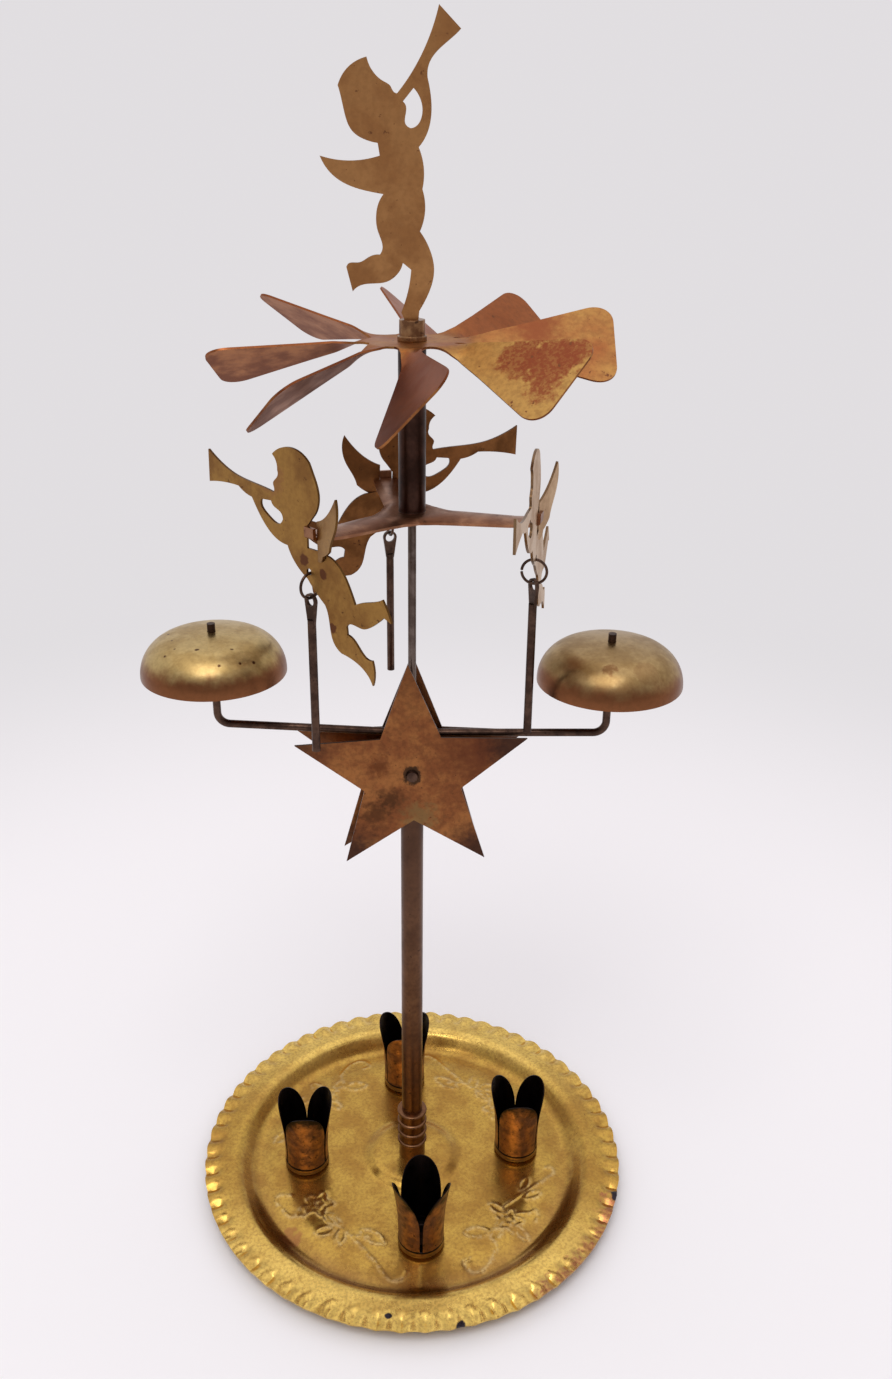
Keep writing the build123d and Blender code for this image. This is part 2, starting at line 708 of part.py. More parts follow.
flying_arm_hole = (
    ((16.7, 5.8), (17.0, 4.6), (14.6, 2.2), (11.0, 1.0), (9.5, 2.4)),
    ((9.5, 2.4), (10.6, 4.1), (12.5, 4.9), (13.3, 6.0)),
    ((13.3, 6.0), (16.7, 5.8)),
)
# The wing, hinged at its root on an upright line and bent outward
wing_line = -slot_half_width - wing_set_back
wing_runs = (
    ((0.0, -5.0), (0.0, 4.1)),
    ((0.0, 4.1), (-4.8, 6.4), (-7.6, 8.9), (-9.5, 11.2)),
    ((-9.5, 11.2), (-10.0, 8.6), (-9.0, 4.4), (-6.4, 0.2), (-5.8, -1.4)),
    ((-5.8, -1.4), (-4.4, -2.4), (-2.6, -3.3)),
    ((-2.6, -3.3), (-1.6, -4.8), (0.0, -5.0)),
)
angel_names = ("right", "back", "left")
angel_facings = [azimuth + angel_toe_in for azimuth in arm_azimuths]
angel_plates = []
for azimuth, facing, dip in zip(arm_azimuths, angel_facings, angel_dips):
    level = Plane(
        around(plate_radius, azimuth, spider_middle),
        x_dir=around(1, facing - 90),
        z_dir=around(-1, facing),
    )
    angel_plates.append(tilted(level, z=-dip))
for name, plate in zip(angel_names, angel_plates):
    wing_root = plate.from_local_coords(Vector(wing_line, 0, 0))
    wing_plane = tilted(Plane(wing_root, x_dir=plate.x_dir, z_dir=plate.z_dir), y=-wing_bend)
    with BuildPart() as angel:
        with BuildSketch(plate):
            with BuildLine():
                trace(flying_runs)
            make_face()
            with BuildLine():
                trace(flying_arm_hole)
            make_face(mode=Mode.SUBTRACT)
            with Locations((ring_hole_forward, -ring_hole_drop)):
                Circle(ring_hole_radius, mode=Mode.SUBTRACT)
        extrude(amount=angel_sheet / 2, both=True)
        with BuildSketch(wing_plane):
            with BuildLine():
                trace(wing_runs)
            make_face()
        extrude(amount=angel_sheet / 2, both=True)
    finish(angel, f"angel_{name}")

# Rings hang in the angels' holes, and the strikers' eyes hang on the rings
hanging = zip(angel_names, angel_plates, angel_facings, striker_head_yaw, striker_eye_slack)
for name, plate, facing, yaw, slack in hanging:
    hang = plate.from_local_coords(Vector(ring_hole_forward, -ring_hole_drop, 0))
    ring_top = hang.Z - ring_hole_radius + hang_gap + ring_wire_radius
    ring_height = ring_top - ring_radius
    ring_bottom = ring_height - ring_radius
    eye_height = ring_bottom + ring_wire_radius + hang_gap + slack - striker_eye_radius
    ring_plane = Plane(
        (hang.X, hang.Y, ring_height), x_dir=around(1, facing), z_dir=around(1, facing + 90)
    )
    with BuildPart() as ring:
        with Locations(ring_plane.location):
            Torus(ring_radius, ring_wire_radius)
    finish(ring, f"ring_{name}")

    turned = facing + yaw
    head_plane = Plane(
        (hang.X, hang.Y, eye_height), x_dir=around(1, turned - 90), z_dir=around(-1, turned)
    )
    with BuildPart() as striker:
        with BuildSketch(head_plane):
            Circle(striker_head_radius)
            Polygon(
                (-striker_head_radius, 0),
                (striker_head_radius, 0),
                (striker_radius, -striker_head_length),
                (-striker_radius, -striker_head_length),
                align=None,
            )
            Circle(striker_eye_radius, mode=Mode.SUBTRACT)
        extrude(amount=striker_head_sheet / 2, both=True)
        with BuildSketch(Plane((hang.X, hang.Y, striker_bottom))):
            Circle(striker_radius)
        extrude(amount=eye_height - striker_head_length + striker_radius - striker_bottom)
    finish(striker, f"striker_{name}")
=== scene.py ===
"""Angel chime carousel: the finish of every surface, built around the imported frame.

Sizes in the classes are millimetres and meshes are written in metres. X runs to the viewer's right,
Y away from the viewer and Z up, and the tray stands on Z = 0.
"""

import json
import logging
import math
from dataclasses import dataclass, field
from enum import Enum
from typing import Sequence

import bmesh
import bpy
import numpy as np
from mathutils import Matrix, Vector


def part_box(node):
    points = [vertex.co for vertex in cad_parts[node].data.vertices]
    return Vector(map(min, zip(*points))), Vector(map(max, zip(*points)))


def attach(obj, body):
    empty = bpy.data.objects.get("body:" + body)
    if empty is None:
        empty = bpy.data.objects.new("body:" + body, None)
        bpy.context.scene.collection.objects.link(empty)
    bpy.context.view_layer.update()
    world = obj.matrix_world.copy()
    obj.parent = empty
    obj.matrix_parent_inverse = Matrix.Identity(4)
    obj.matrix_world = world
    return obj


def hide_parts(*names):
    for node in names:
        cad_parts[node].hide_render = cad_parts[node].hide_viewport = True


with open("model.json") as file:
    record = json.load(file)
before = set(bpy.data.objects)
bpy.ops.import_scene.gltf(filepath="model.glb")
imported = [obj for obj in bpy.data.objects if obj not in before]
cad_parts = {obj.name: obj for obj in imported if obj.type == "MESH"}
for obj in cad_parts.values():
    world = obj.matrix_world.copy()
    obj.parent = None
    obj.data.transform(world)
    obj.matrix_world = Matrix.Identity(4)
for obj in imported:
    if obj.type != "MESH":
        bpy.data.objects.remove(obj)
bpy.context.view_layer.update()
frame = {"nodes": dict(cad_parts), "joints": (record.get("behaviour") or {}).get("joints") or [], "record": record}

MM = 0.001
PHOTO_SIZE = (892, 1379)
CRISP_ANGLE = 40.0
WELD = 1e-6
RAGGED_SIZE = 1.8
BARE_SIZE = 0.8
GRAIN_SIZE = 0.35
log = logging.getLogger("angel_chime")

Colour = tuple[float, float, float]
Point = tuple[float, float, float]
Value = bpy.types.NodeSocket | float | Colour


class Slot(Enum):
    """The record's material slots for the pieces that are made here."""

    TRAY = "tray_brass"
    CUP = "cup_brass"
    POLE = "pole_brass"
    WIRE = "wire_brass"
    BELL = "bell_brass"
    SHEET = "sheet_brass"
    STEEL = "steel"


# Surfaces


@dataclass
class Patch:
    """A surface: points in millimetres, four-cornered faces, and named values at each point."""

    points: np.ndarray
    faces: np.ndarray
    marks: dict[str, np.ndarray] = field(default_factory=dict)

    @classmethod
    def grid(
        cls, points: np.ndarray, around: bool = False, closed: bool = False, **marks: np.ndarray | float
    ) -> "Patch":
        """A patch from a grid of points.

        Args:
            points: rows by columns by three coordinates.
            around: joins the last column to the first.
            closed: joins the last row to the first.
            **marks: values that spread over the grid's rows and columns.

        Returns:
            The patch, with one face in each cell of the grid.
        """
        rows, columns = points.shape[:2]
        index = np.arange(rows * columns).reshape(rows, columns)
        if around:
            index = np.concatenate([index, index[:, :1]], axis=1)
        if closed:
            index = np.concatenate([index, index[:1]], axis=0)
        cells = [index[:-1, :-1], index[:-1, 1:], index[1:, 1:], index[1:, :-1]]
        values = {name: np.broadcast_to(mark, (rows, columns)).ravel() for name, mark in marks.items()}
        return cls(points.reshape(-1, 3), np.stack(cells, axis=-1).reshape(-1, 4), values)

    @classmethod
    def joined(cls, patches: Sequence["Patch"]) -> "Patch":
        """Several patches with the same marks as one.

        Args:
            patches: patches that hold the same marks.

        Returns:
            One patch with all their points and faces.
        """
        starts = np.cumsum([0] + [len(patch.points) for patch in patches[:-1]])
        return cls(
            np.concatenate([patch.points for patch in patches]),
            np.concatenate([patch.faces + start for patch, start in zip(patches, starts)]),
            {name: np.concatenate([patch.marks[name] for patch in patches]) for name in patches[0].marks},
        )

    def to_piece(self, name: str, sheet: float = 0.0) -> bpy.types.Object:
        """Make a mesh object of the patch, with seams and poles welded and faces turned outwards.

        Args:
            name: name of the piece.
            sheet: thickness that an open patch gets above it, or 0 for one that is closed already.

        Returns:
            The object, at the origin, with its place in its mesh.
        """
        mesh = bpy.data.meshes.new(name)
        mesh.vertices.add(len(self.points))
        mesh.vertices.foreach_set("co", (self.points * MM).astype(np.float32).ravel())
        mesh.loops.add(self.faces.size)
        mesh.loops.foreach_set("vertex_index", self.faces.astype(np.int32).ravel())
        mesh.polygons.add(len(self.faces))
        mesh.polygons.foreach_set("loop_start", np.arange(0, self.faces.size, 4, dtype=np.int32))
        mesh.update(calc_edges=True)
        for mark, values in self.marks.items():
            layer = mesh.attributes.new(mark, "FLOAT", "POINT")
            layer.data.foreach_set("value", values.astype(np.float32))
        work = bmesh.new()
        work.from_mesh(mesh)
        bmesh.ops.remove_doubles(work, verts=work.verts, dist=WELD)
        bmesh.ops.dissolve_degenerate(work, edges=work.edges, dist=WELD / 10)
        if sheet:
            bmesh.ops.solidify(work, geom=work.faces[:], thickness=sheet * MM)
        bmesh.ops.recalc_face_normals(work, faces=work.faces)
        work.to_mesh(mesh)
        work.free()
        mesh.shade_smooth()
        mesh.set_sharp_from_angle(angle=math.radians(CRISP_ANGLE))
        piece = bpy.data.objects.new(name, mesh)
        bpy.context.scene.collection.objects.link(piece)
        return piece


def ease(value: np.ndarray, low: float, high: float) -> np.ndarray:
    """A smooth step from 0 at low to 1 at high: three t squared less two t cubed."""
    share = np.clip((value - low) / (high - low), 0.0, 1.0)
    return share * share * (3.0 - 2.0 * share)


def softened(corners: Sequence[tuple[float, float]], step: float, soften: float) -> np.ndarray:
    """The line through these corners at even steps, its bends rounded by a moving average.

    Args:
        corners: radius and height of each corner.
        step: distance between the points.
        soften: length of the moving average.

    Returns:
        An array of radius and height, with both ends in place.
    """
    line = np.asarray(corners, float)
    lengths = np.concatenate([[0.0], np.cumsum(np.linalg.norm(np.diff(line, axis=0), axis=1))])
    along = np.linspace(0.0, lengths[-1], int(lengths[-1] / step) + 2)
    even = np.stack([np.interp(along, lengths, line[:, axis]) for axis in (0, 1)], axis=1)
    half = max(1, int(soften / step / 2))
    padded = np.pad(even, ((half, half), (0, 0)), mode="reflect", reflect_type="odd")
    kernel = np.ones(2 * half + 1) / (2 * half + 1)
    return np.stack([np.convolve(padded[:, axis], kernel, "valid") for axis in (0, 1)], axis=1)


def turned(
    profile: np.ndarray,
    segments: int,
    centre: tuple[float, float] = (0.0, 0.0),
    closed: bool = True,
    **marks: np.ndarray,
) -> Patch:
    """A profile of radius r and height z turned about an upright axis: (x + r cos a, y + r sin a, z).

    Args:
        profile: radius and height of each ring.
        segments: steps of the angle a.
        centre: x and y of the axis.
        closed: the last ring is joined to the first.
        **marks: a value for each ring.

    Returns:
        The turned surface.
    """
    angle = np.linspace(0.0, 2.0 * math.pi, segments, endpoint=False)
    radius, height = profile[:, :1], profile[:, 1:]
    x, y = centre[0] + radius * np.cos(angle), centre[1] + radius * np.sin(angle)
    points = np.stack([x, y, height + 0.0 * angle], axis=-1)
    rings = {name: np.asarray(mark)[:, None] for name, mark in marks.items()}
    return Patch.grid(points, around=True, closed=closed, **rings)


def flowing(points: Sequence[tuple[float, float]], steps: int = 8) -> np.ndarray:
    """A smooth run through these points: each span is the cubic that leaves along its neighbours' chord.

    Args:
        points: x and y of each point.
        steps: points on each span.

    Returns:
        The run as an array of x and y.
    """
    line = np.asarray(points, float)
    line = np.concatenate([2 * line[:1] - line[1:2], line, 2 * line[-1:] - line[-2:-1]])
    before, start, end, after = (line[k : len(line) - 3 + k, None, :] for k in range(4))
    t = np.linspace(0.0, 1.0, steps, endpoint=False)[None, :, None]
    run = 0.5 * (
        2 * start
        + (end - before) * t
        + (2 * before - 5 * start + 4 * end - after) * t**2
        + (3 * start - before - 3 * end + after) * t**3
    )
    return np.concatenate([run.reshape(-1, 2), line[-2:-1]])


def distance_to(run: np.ndarray, x: np.ndarray, y: np.ndarray) -> np.ndarray:
    """Distance from points to a run of straight steps: each point's nearest place on its nearest step.

    Args:
        run: the points of the run.
        x: x of each point.
        y: y of each point.

    Returns:
        The distance of each point.
    """
    place = np.stack([x, y], axis=-1)[:, None, :]
    start, step = run[None, :-1], np.diff(run, axis=0)[None]
    share = np.clip(((place - start) * step).sum(-1) / (step**2).sum(-1), 0.0, 1.0)[..., None]
    return np.linalg.norm(place - start - share * step, axis=-1).min(axis=1)


# Finishes


class Nodes:
    """A node tree, with a short call for each step of arithmetic."""

    def __init__(self, owner: bpy.types.ID) -> None:
        """Use the node tree of a material or of the surround."""
        owner.use_nodes = True
        self.tree = owner.node_tree

    def put(self, socket: bpy.types.NodeSocket, value: Value) -> None:
        """Link a socket to another one, or set its value.

        Args:
            socket: the input to fill.
            value: another node's output, or a constant.
        """
        if isinstance(value, bpy.types.NodeSocket):
            self.tree.links.new(value, socket)
        elif socket.type == "RGBA":
            socket.default_value = (*value, 1.0)
        else:
            socket.default_value = value

    def add(
        self, kind: str, values: dict[str | int, Value], output: int = 0, **settings: str
    ) -> bpy.types.NodeSocket:
        """Add a node.

        Args:
            kind: the node's type.
            values: value or socket for each input, by its name or number.
            output: number of the output that is wanted.
            **settings: the node's own settings.

        Returns:
            That output.
        """
        node = self.tree.nodes.new(kind)
        for name, value in settings.items():
            setattr(node, name, value)
        for name, value in values.items():
            self.put(node.inputs[name], value)
        return node.outputs[output]

    def sum(self, operation: str, first: Value, second: Value = 0.0) -> bpy.types.NodeSocket:
        """One step of arithmetic."""
        return self.add("ShaderNodeMath", {0: first, 1: second}, operation=operation)

    def share(self, value: Value, low: float, high: float) -> bpy.types.NodeSocket:
        """0 up to low, 1 from high on, and smooth between."""
        values = {"Value": value, "From Min": low, "From Max": high}
        return self.add("ShaderNodeMapRange", values, interpolation_type="SMOOTHSTEP")

    def level(self, value: Value, start: float, end: float) -> bpy.types.NodeSocket:
        """From start where the value is 0 to end where it is 1."""
        return self.add("ShaderNodeMapRange", {"Value": value, "To Min": start, "To Max": end})

    def mix(self, share: Value, first: Value, second: Value) -> bpy.types.NodeSocket:
        """The first colour where the share is 0, and the second where it is 1."""
        return self.add("ShaderNodeMix", {0: share, 6: first, 7: second}, output=2, data_type="RGBA")

    def seen(self, *rays: str) -> bpy.types.NodeSocket:
        """1 for light of these kinds, and 0 for the rest.

        Args:
            *rays: names of the Light Path node's outputs.

        Returns:
            The largest of them.
        """
        path = self.tree.nodes.new("ShaderNodeLightPath").outputs
        total = path[rays[0]]
        for ray in rays[1:]:
            total = self.sum("MAXIMUM", total, path[ray])
        return total


class Paint(Nodes):
    """One material, with a short call for each kind of texture that the finishes use."""

    def __init__(self, name: str) -> None:
        """Start a material of this name with its surface shader and its own coordinates.

        Args:
            name: name of the material.
        """
        self.material = bpy.data.materials.new(name)
        super().__init__(self.material)
        self.shader = self.tree.nodes["Principled BSDF"]
        coordinates = self.tree.nodes.new("ShaderNodeTexCoord")
        self.place = coordinates.outputs["Object"]
        self.normal = coordinates.outputs["Normal"]

    def mark(self, name: str) -> bpy.types.NodeSocket:
        """The value that the piece's mesh holds under this name."""
        return self.add("ShaderNodeAttribute", {}, output=2, attribute_name=name)

    def along(self, axis: int) -> bpy.types.NodeSocket:
        """The place along X, Y or Z, in metres."""
        return self.add("ShaderNodeSeparateXYZ", {0: self.place}, output=axis)

    def from_axis(self) -> bpy.types.NodeSocket:
        """The distance from the pole's axis, in metres."""
        level = self.add("ShaderNodeVectorMath", {0: self.place, 1: (1, 1, 0)}, operation="MULTIPLY")
        return self.add("ShaderNodeVectorMath", {0: level}, output=1, operation="LENGTH")

    def noise(self, size: float, detail: float = 3.0, stretch: Point = (1, 1, 1)) -> bpy.types.NodeSocket:
        """Soft noise with blotches of about this size, drawn out along an axis that has a small stretch.

        Args:
            size: size of a blotch, in millimetres.
            detail: number of finer layers.
            stretch: scale along each axis.

        Returns:
            The noise, from 0 to 1.
        """
        place = self.add("ShaderNodeVectorMath", {0: self.place, 1: stretch}, operation="MULTIPLY")
        values = {"Vector": place, "Scale": 1.0 / (size * MM), "Detail": detail, "Roughness": 0.6}
        return self.add("ShaderNodeTexNoise", values)

    def blotches(self, size: float, low: float, high: float, detail: float = 3.0) -> bpy.types.NodeSocket:
        """1 in blotches where noise passes high, fading to 0 where it is under low."""
        return self.share(self.noise(size, detail), low, high)

    def near(self, centre: Point, reach: float, core: float, ragged: float) -> bpy.types.NodeSocket:
        """1 in the core round a point, falling to 0 at this reach, with a ragged edge.

        Args:
            centre: the point, in millimetres.
            reach: distance at which nothing is left.
            core: part of the reach that is full.
            ragged: how far noise pushes the edge in and out, as a part of the reach.

        Returns:
            The share's socket.
        """
        middle = tuple(MM * c for c in centre)
        away = self.add("ShaderNodeVectorMath", {0: self.place, 1: middle}, output=1, operation="DISTANCE")
        swing = self.sum("SUBTRACT", self.noise(RAGGED_SIZE, detail=5.0), 0.5)
        rough = self.sum("MULTIPLY", swing, ragged * reach * MM)
        return self.share(self.sum("ADD", away, rough), reach * MM, reach * core * MM)

    def bump(
        self, height: Value, depth: float, after: bpy.types.NodeSocket | None = None
    ) -> bpy.types.NodeSocket:
        """A bump of this depth in millimetres, on top of another one.

        Args:
            height: height, from 0 to 1.
            depth: depth of the bump.
            after: the normal of the other bump.

        Returns:
            The bumped normal.
        """
        values = {"Height": height, "Distance": depth * MM, "Strength": 1.0}
        if after is not None:
            values["Normal"] = after
        return self.add("ShaderNodeBump", values)


@dataclass(frozen=True)
class Stain:
    """A ragged stain round a point, full in its core and broken up by bare specks."""

    centre: Point
    reach: float
    colour: Colour
    core: float = 0.7
    ragged: float = 1.6
    strength: float = 1.0
    broken: float = 0.0

    def share(self, paint: Paint) -> bpy.types.NodeSocket:
        """How much of the stain shows at each place.

        Args:
            paint: the material that is being made.

        Returns:
            The share's socket.
        """
        whole = paint.near(self.centre, self.reach, self.core, self.ragged)
        covered = paint.blotches(BARE_SIZE, 0.44, 0.56, detail=4.0)
        shown = paint.level(covered, self.strength * (1.0 - self.broken), self.strength)
        return paint.sum("MULTIPLY", whole, shown)


@dataclass(frozen=True)
class OldBrass:
    """Old sheet brass: clean metal, dulled patches, mottling, brown specks, stains, and darker cut edges that are
    partly tarnishing and partly painted shade.
    """

    name: str
    clean: Colour
    dull: Colour
    speck: Colour
    patch_size: float = 9.0
    dulled: tuple[float, float] = (0.40, 0.62)
    mottle: float = 0.35
    mottle_size: float = 1.1
    speck_size: float = 1.6
    specked: tuple[float, float] = (0.66, 0.72)
    polish: tuple[float, float] = (0.30, 0.46)
    metal: float = 1.0
    grain: float = 0.012
    brushed: Point = (1, 1, 1)
    dent: float = 0.03
    dent_share: float = 0.6
    stains: tuple[Stain, ...] = ()
    facing: Point | None = None
    # Colour of the cut edges: partly tarnishing and partly painted shade.
    edge_tarnish_and_shade: Colour = (0.13, 0.065, 0.035)
    edge_turn: tuple[float, float] = (0.7, 0.4)
    glancing: Colour = (1.0, 1.0, 1.0)

    def tone(self, paint: Paint, patches: bpy.types.NodeSocket) -> bpy.types.NodeSocket:
        """The metal before its stains: clean, and dull in the patches."""
        return paint.mix(patches, self.clean, self.dull)

    def colour(self, paint: Paint, patches: bpy.types.NodeSocket) -> bpy.types.NodeSocket:
        """The colour of the metal.

        Args:
            paint: the material that is being made.
            patches: 1 where the metal is dull.

        Returns:
            The colour's socket.
        """
        colour = self.tone(paint, patches)
        mottled = paint.blotches(self.mottle_size, 0.38, 0.68, detail=5.0)
        colour = paint.mix(paint.sum("MULTIPLY", mottled, self.mottle), colour, self.speck)
        for stain in self.stains:
            colour = paint.mix(stain.share(paint), colour, stain.colour)
        colour = paint.mix(paint.blotches(self.speck_size, *self.specked), colour, self.speck)
        # Cut edges, where the normal turns away from the facing axis, are painted darker: partly tarnishing and
        # partly painted shade.
        if self.facing is not None:
            values = {0: paint.normal, 1: self.facing}
            turn = paint.add("ShaderNodeVectorMath", values, output=1, operation="DOT_PRODUCT")
            edges = paint.share(paint.sum("ABSOLUTE", turn), *self.edge_turn)
            colour = paint.mix(edges, colour, self.edge_tarnish_and_shade)
        return colour

    def material(self) -> bpy.types.Material:
        """Make the material: colour, roughness and two scales of bump all follow the same patches.

        Returns:
            The material.
        """
        paint = Paint(self.name)
        patches = paint.blotches(self.patch_size, *self.dulled, detail=5.0)
        paint.put(paint.shader.inputs["Base Color"], self.colour(paint, patches))
        paint.put(paint.shader.inputs["Roughness"], paint.level(patches, *self.polish))
        paint.put(paint.shader.inputs["Metallic"], self.metal)
        paint.put(paint.shader.inputs["Specular Tint"], self.glancing)
        dents = paint.bump(paint.noise(self.patch_size * self.dent_share, detail=2.0), self.dent)
        fine = paint.noise(GRAIN_SIZE, detail=2.0, stretch=self.brushed)
        grain = paint.bump(fine, self.grain, after=dents)
        paint.put(paint.shader.inputs["Normal"], grain)
        return paint.material


@dataclass(frozen=True)
class TrayBrass(OldBrass):
    """Pressed brass: a flange with a painted highlight at front and back, a brown band in the dish's corner that
    is partly tarnishing and partly a painted dark reflection nearer the viewer, and worn embossing.
    """

    # Painted highlight: the flange is painted lighter at front and back, where it catches the light.
    painted_highlight: Colour = (0.86, 0.60, 0.16)
    # Partly tarnishing and partly a painted dark reflection: the band in the dish's corner is painted browner,
    # more so nearer the viewer.
    tarnish_and_dark_reflection: Colour = (0.32, 0.16, 0.055)
    worn: Colour = (0.66, 0.49, 0.23)
    band: tuple[float, float, float, float] = (41.0, 46.5, 48.5, 52.5)
    cloud_size: float = 6.0
    cloud: tuple[float, float] = (0.55, 0.95)
    bright_from: tuple[float, float] = (10.0, 50.0)
    tarnish_and_reflection_from: tuple[float, float] = (30.0, -50.0)
    tarnish_and_reflection_share: float = 0.65
    worn_size: float = 1.6
    worn_share: float = 0.6

    def tone(self, paint: Paint, patches: bpy.types.NodeSocket) -> bpy.types.NodeSocket:
        """A painted highlight outside the corner at front and back, a band darkened nearer the viewer that is
        partly tarnishing and partly a painted dark reflection, and worn on the lines.

        Args:
            paint: the material that is being made.
            patches: 1 where the metal is dull.

        Returns:
            The colour's socket.
        """
        start, full, last, end = (MM * radius for radius in self.band)
        radius = paint.from_axis()
        cloudy = paint.level(paint.blotches(self.cloud_size, 0.32, 0.60, detail=4.0), *self.cloud)
        # Painted highlight: the flange outside the corner is painted lighter towards the front and the back than
        # at the sides.
        ends = paint.share(paint.sum("ABSOLUTE", paint.along(1)), *(MM * y for y in self.bright_from))
        outside = paint.sum("MULTIPLY", paint.share(radius, last, end), paint.sum("MULTIPLY", ends, cloudy))
        metal = paint.mix(outside, super().tone(paint, patches), self.painted_highlight)
        # The corner band: partly tarnishing and partly a painted dark reflection, stronger nearer the viewer.
        band = paint.sum("MULTIPLY", paint.share(radius, start, full), paint.share(radius, end, last))
        nearer = paint.share(paint.along(1), *(MM * y for y in self.tarnish_and_reflection_from))
        near = paint.level(nearer, 0.0, self.tarnish_and_reflection_share)
        share = paint.sum("MULTIPLY", band, paint.sum("MULTIPLY", near, cloudy))
        metal = paint.mix(share, metal, self.tarnish_and_dark_reflection)
        rubbed = paint.blotches(self.worn_size, 0.40, 0.58, detail=4.0)
        worn = paint.sum("MULTIPLY", paint.mark("worn"), rubbed)
        return paint.mix(paint.sum("MULTIPLY", worn, self.worn_share), metal, self.worn)


@dataclass(frozen=True)
class CandleBrass(OldBrass):
    """Brass heated by candles: orange and brown, brassy at the foot, and black by the soot mark."""

    soot: Colour = (0.016, 0.010, 0.009)
    foot: Colour = (0.26, 0.16, 0.05)
    foot_height: float = 4.6
    foot_fade: float = 1.6
    foot_ragged: float = 2.2
    foot_cloud: float = 2.0
    foot_share: float = 0.75
    soot_ragged: float = 0.5
    soot_cloud: float = 3.0
    soot_edge: tuple[float, float] = (0.30, 0.70)

    def colour(self, paint: Paint, patches: bpy.types.NodeSocket) -> bpy.types.NodeSocket:
        """The metal's colour, covered by soot on the inside, towards the tips and in blotches.

        Args:
            paint: the material that is being made.
            patches: 1 where the metal is dull.

        Returns:
            The colour's socket.
        """
        metal = super().colour(paint, patches)
        ragged = self.foot_ragged * MM
        uneven = paint.level(paint.noise(self.foot_cloud, detail=4.0), -ragged, ragged)
        low = paint.sum("ADD", paint.along(2), uneven)
        brassy = paint.share(low, self.foot_height * MM, (self.foot_height - self.foot_fade) * MM)
        metal = paint.mix(paint.sum("MULTIPLY", brassy, self.foot_share), metal, self.foot)
        cloudy = paint.level(paint.noise(self.soot_cloud, detail=5.0), -self.soot_ragged, self.soot_ragged)
        rough = paint.sum("ADD", paint.mark("soot"), cloudy)
        return paint.mix(paint.share(rough, *self.soot_edge), metal, self.soot)


@dataclass(frozen=True)
class BellBrass(OldBrass):
    """Spun brass that turns coppery towards the rim, by the skirt mark."""

    copper: Colour = (0.23, 0.088, 0.036)
    cloud_size: float = 5.0
    cloud: float = 0.45
    border: tuple[float, float] = (0.15, 0.85)

    def tone(self, paint: Paint, patches: bpy.types.NodeSocket) -> bpy.types.NodeSocket:
        """Gold on the crown, and copper on the skirt with a cloudy border.

        Args:
            paint: the material that is being made.
            patches: 1 where the metal is dull.

        Returns:
            The colour's socket.
        """
        cloudy = paint.level(paint.noise(self.cloud_size, detail=4.0), -self.cloud, self.cloud)
        share = paint.share(paint.sum("ADD", paint.mark("skirt"), cloudy), *self.border)
        return paint.mix(share, super().tone(paint, patches), self.copper)


@dataclass(frozen=True)
class FanBrass(OldBrass):
    """Heated sheet: mauve, copper or gold on top by the warm mark, and mauve brown underneath."""

    mauve: Colour = (0.185, 0.05, 0.02)
    copper: Colour = (0.33, 0.11, 0.04)
    under: Colour = (0.165, 0.054, 0.022)
    under_light: Colour = (0.34, 0.14, 0.046)
    cloud_size: float = 9.0
    cloud: float = 0.35
    side_blend: float = 0.05

    def tone(self, paint: Paint, patches: bpy.types.NodeSocket) -> bpy.types.NodeSocket:
        """Three colours in turn on the upper side, and two in patches below.

        Args:
            paint: the material that is being made.
            patches: 1 where the metal is dull.

        Returns:
            The colour's socket.
        """
        cloudy = paint.level(paint.noise(self.cloud_size, detail=5.0), -self.cloud, self.cloud)
        warm = paint.sum("ADD", paint.mark("warm"), cloudy)
        top = paint.mix(paint.share(warm, 0.0, 0.5), self.mauve, self.copper)
        top = paint.mix(paint.share(warm, 0.5, 1.0), top, self.clean)
        below = paint.mix(patches, self.under_light, self.under)
        height = paint.add("ShaderNodeSeparateXYZ", {0: paint.normal}, output=2)
        return paint.mix(paint.share(height, self.side_blend, -self.side_blend), top, below)


# Pieces


def place(piece: bpy.types.Object, body: str, slot: Slot, finish: bpy.types.Material, *nodes: str) -> None:
    """Dress a new piece and put it into the frame.

    Args:
        piece: the new piece.
        body: the body that it rides on.
        slot: the record's slot for its material; not used.
        finish: its material.
        *nodes: the solids that it stands for.
    """
    piece.data.materials.append(finish)
    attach(piece, body)
    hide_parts(*nodes)
    log.info("%s rides on %s, %d faces", piece.name, body, len(piece.data.polygons))


def dress(finish: bpy.types.Material, *nodes: str) -> None:
    """Give solids of the frame this material.

    Args:
        finish: the material.
        *nodes: names of the solids.
    """
    for node in nodes:
        mesh = frame["nodes"][node].data
        mesh.materials.clear()
        mesh.materials.append(finish)
        log.info("%s keeps its solid", node)


def middle_of(node: str) -> tuple[float, float]:
    """The x and y of the middle of a solid's box, in millimetres."""
    low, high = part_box(node)
    return ((low.x + high.x) / 2 / MM, (low.y + high.y) / 2 / MM)


def heights_of(node: str) -> tuple[float, float]:
    """The lowest and highest z of a solid, in millimetres."""
    low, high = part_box(node)
    return (low.z / MM, high.z / MM)


def hinge_axis(name: str) -> np.ndarray:
    """The direction of a joint's axis."""
    return np.array(next(joint for joint in frame["joints"] if joint["name"] == name)["axis"], float)


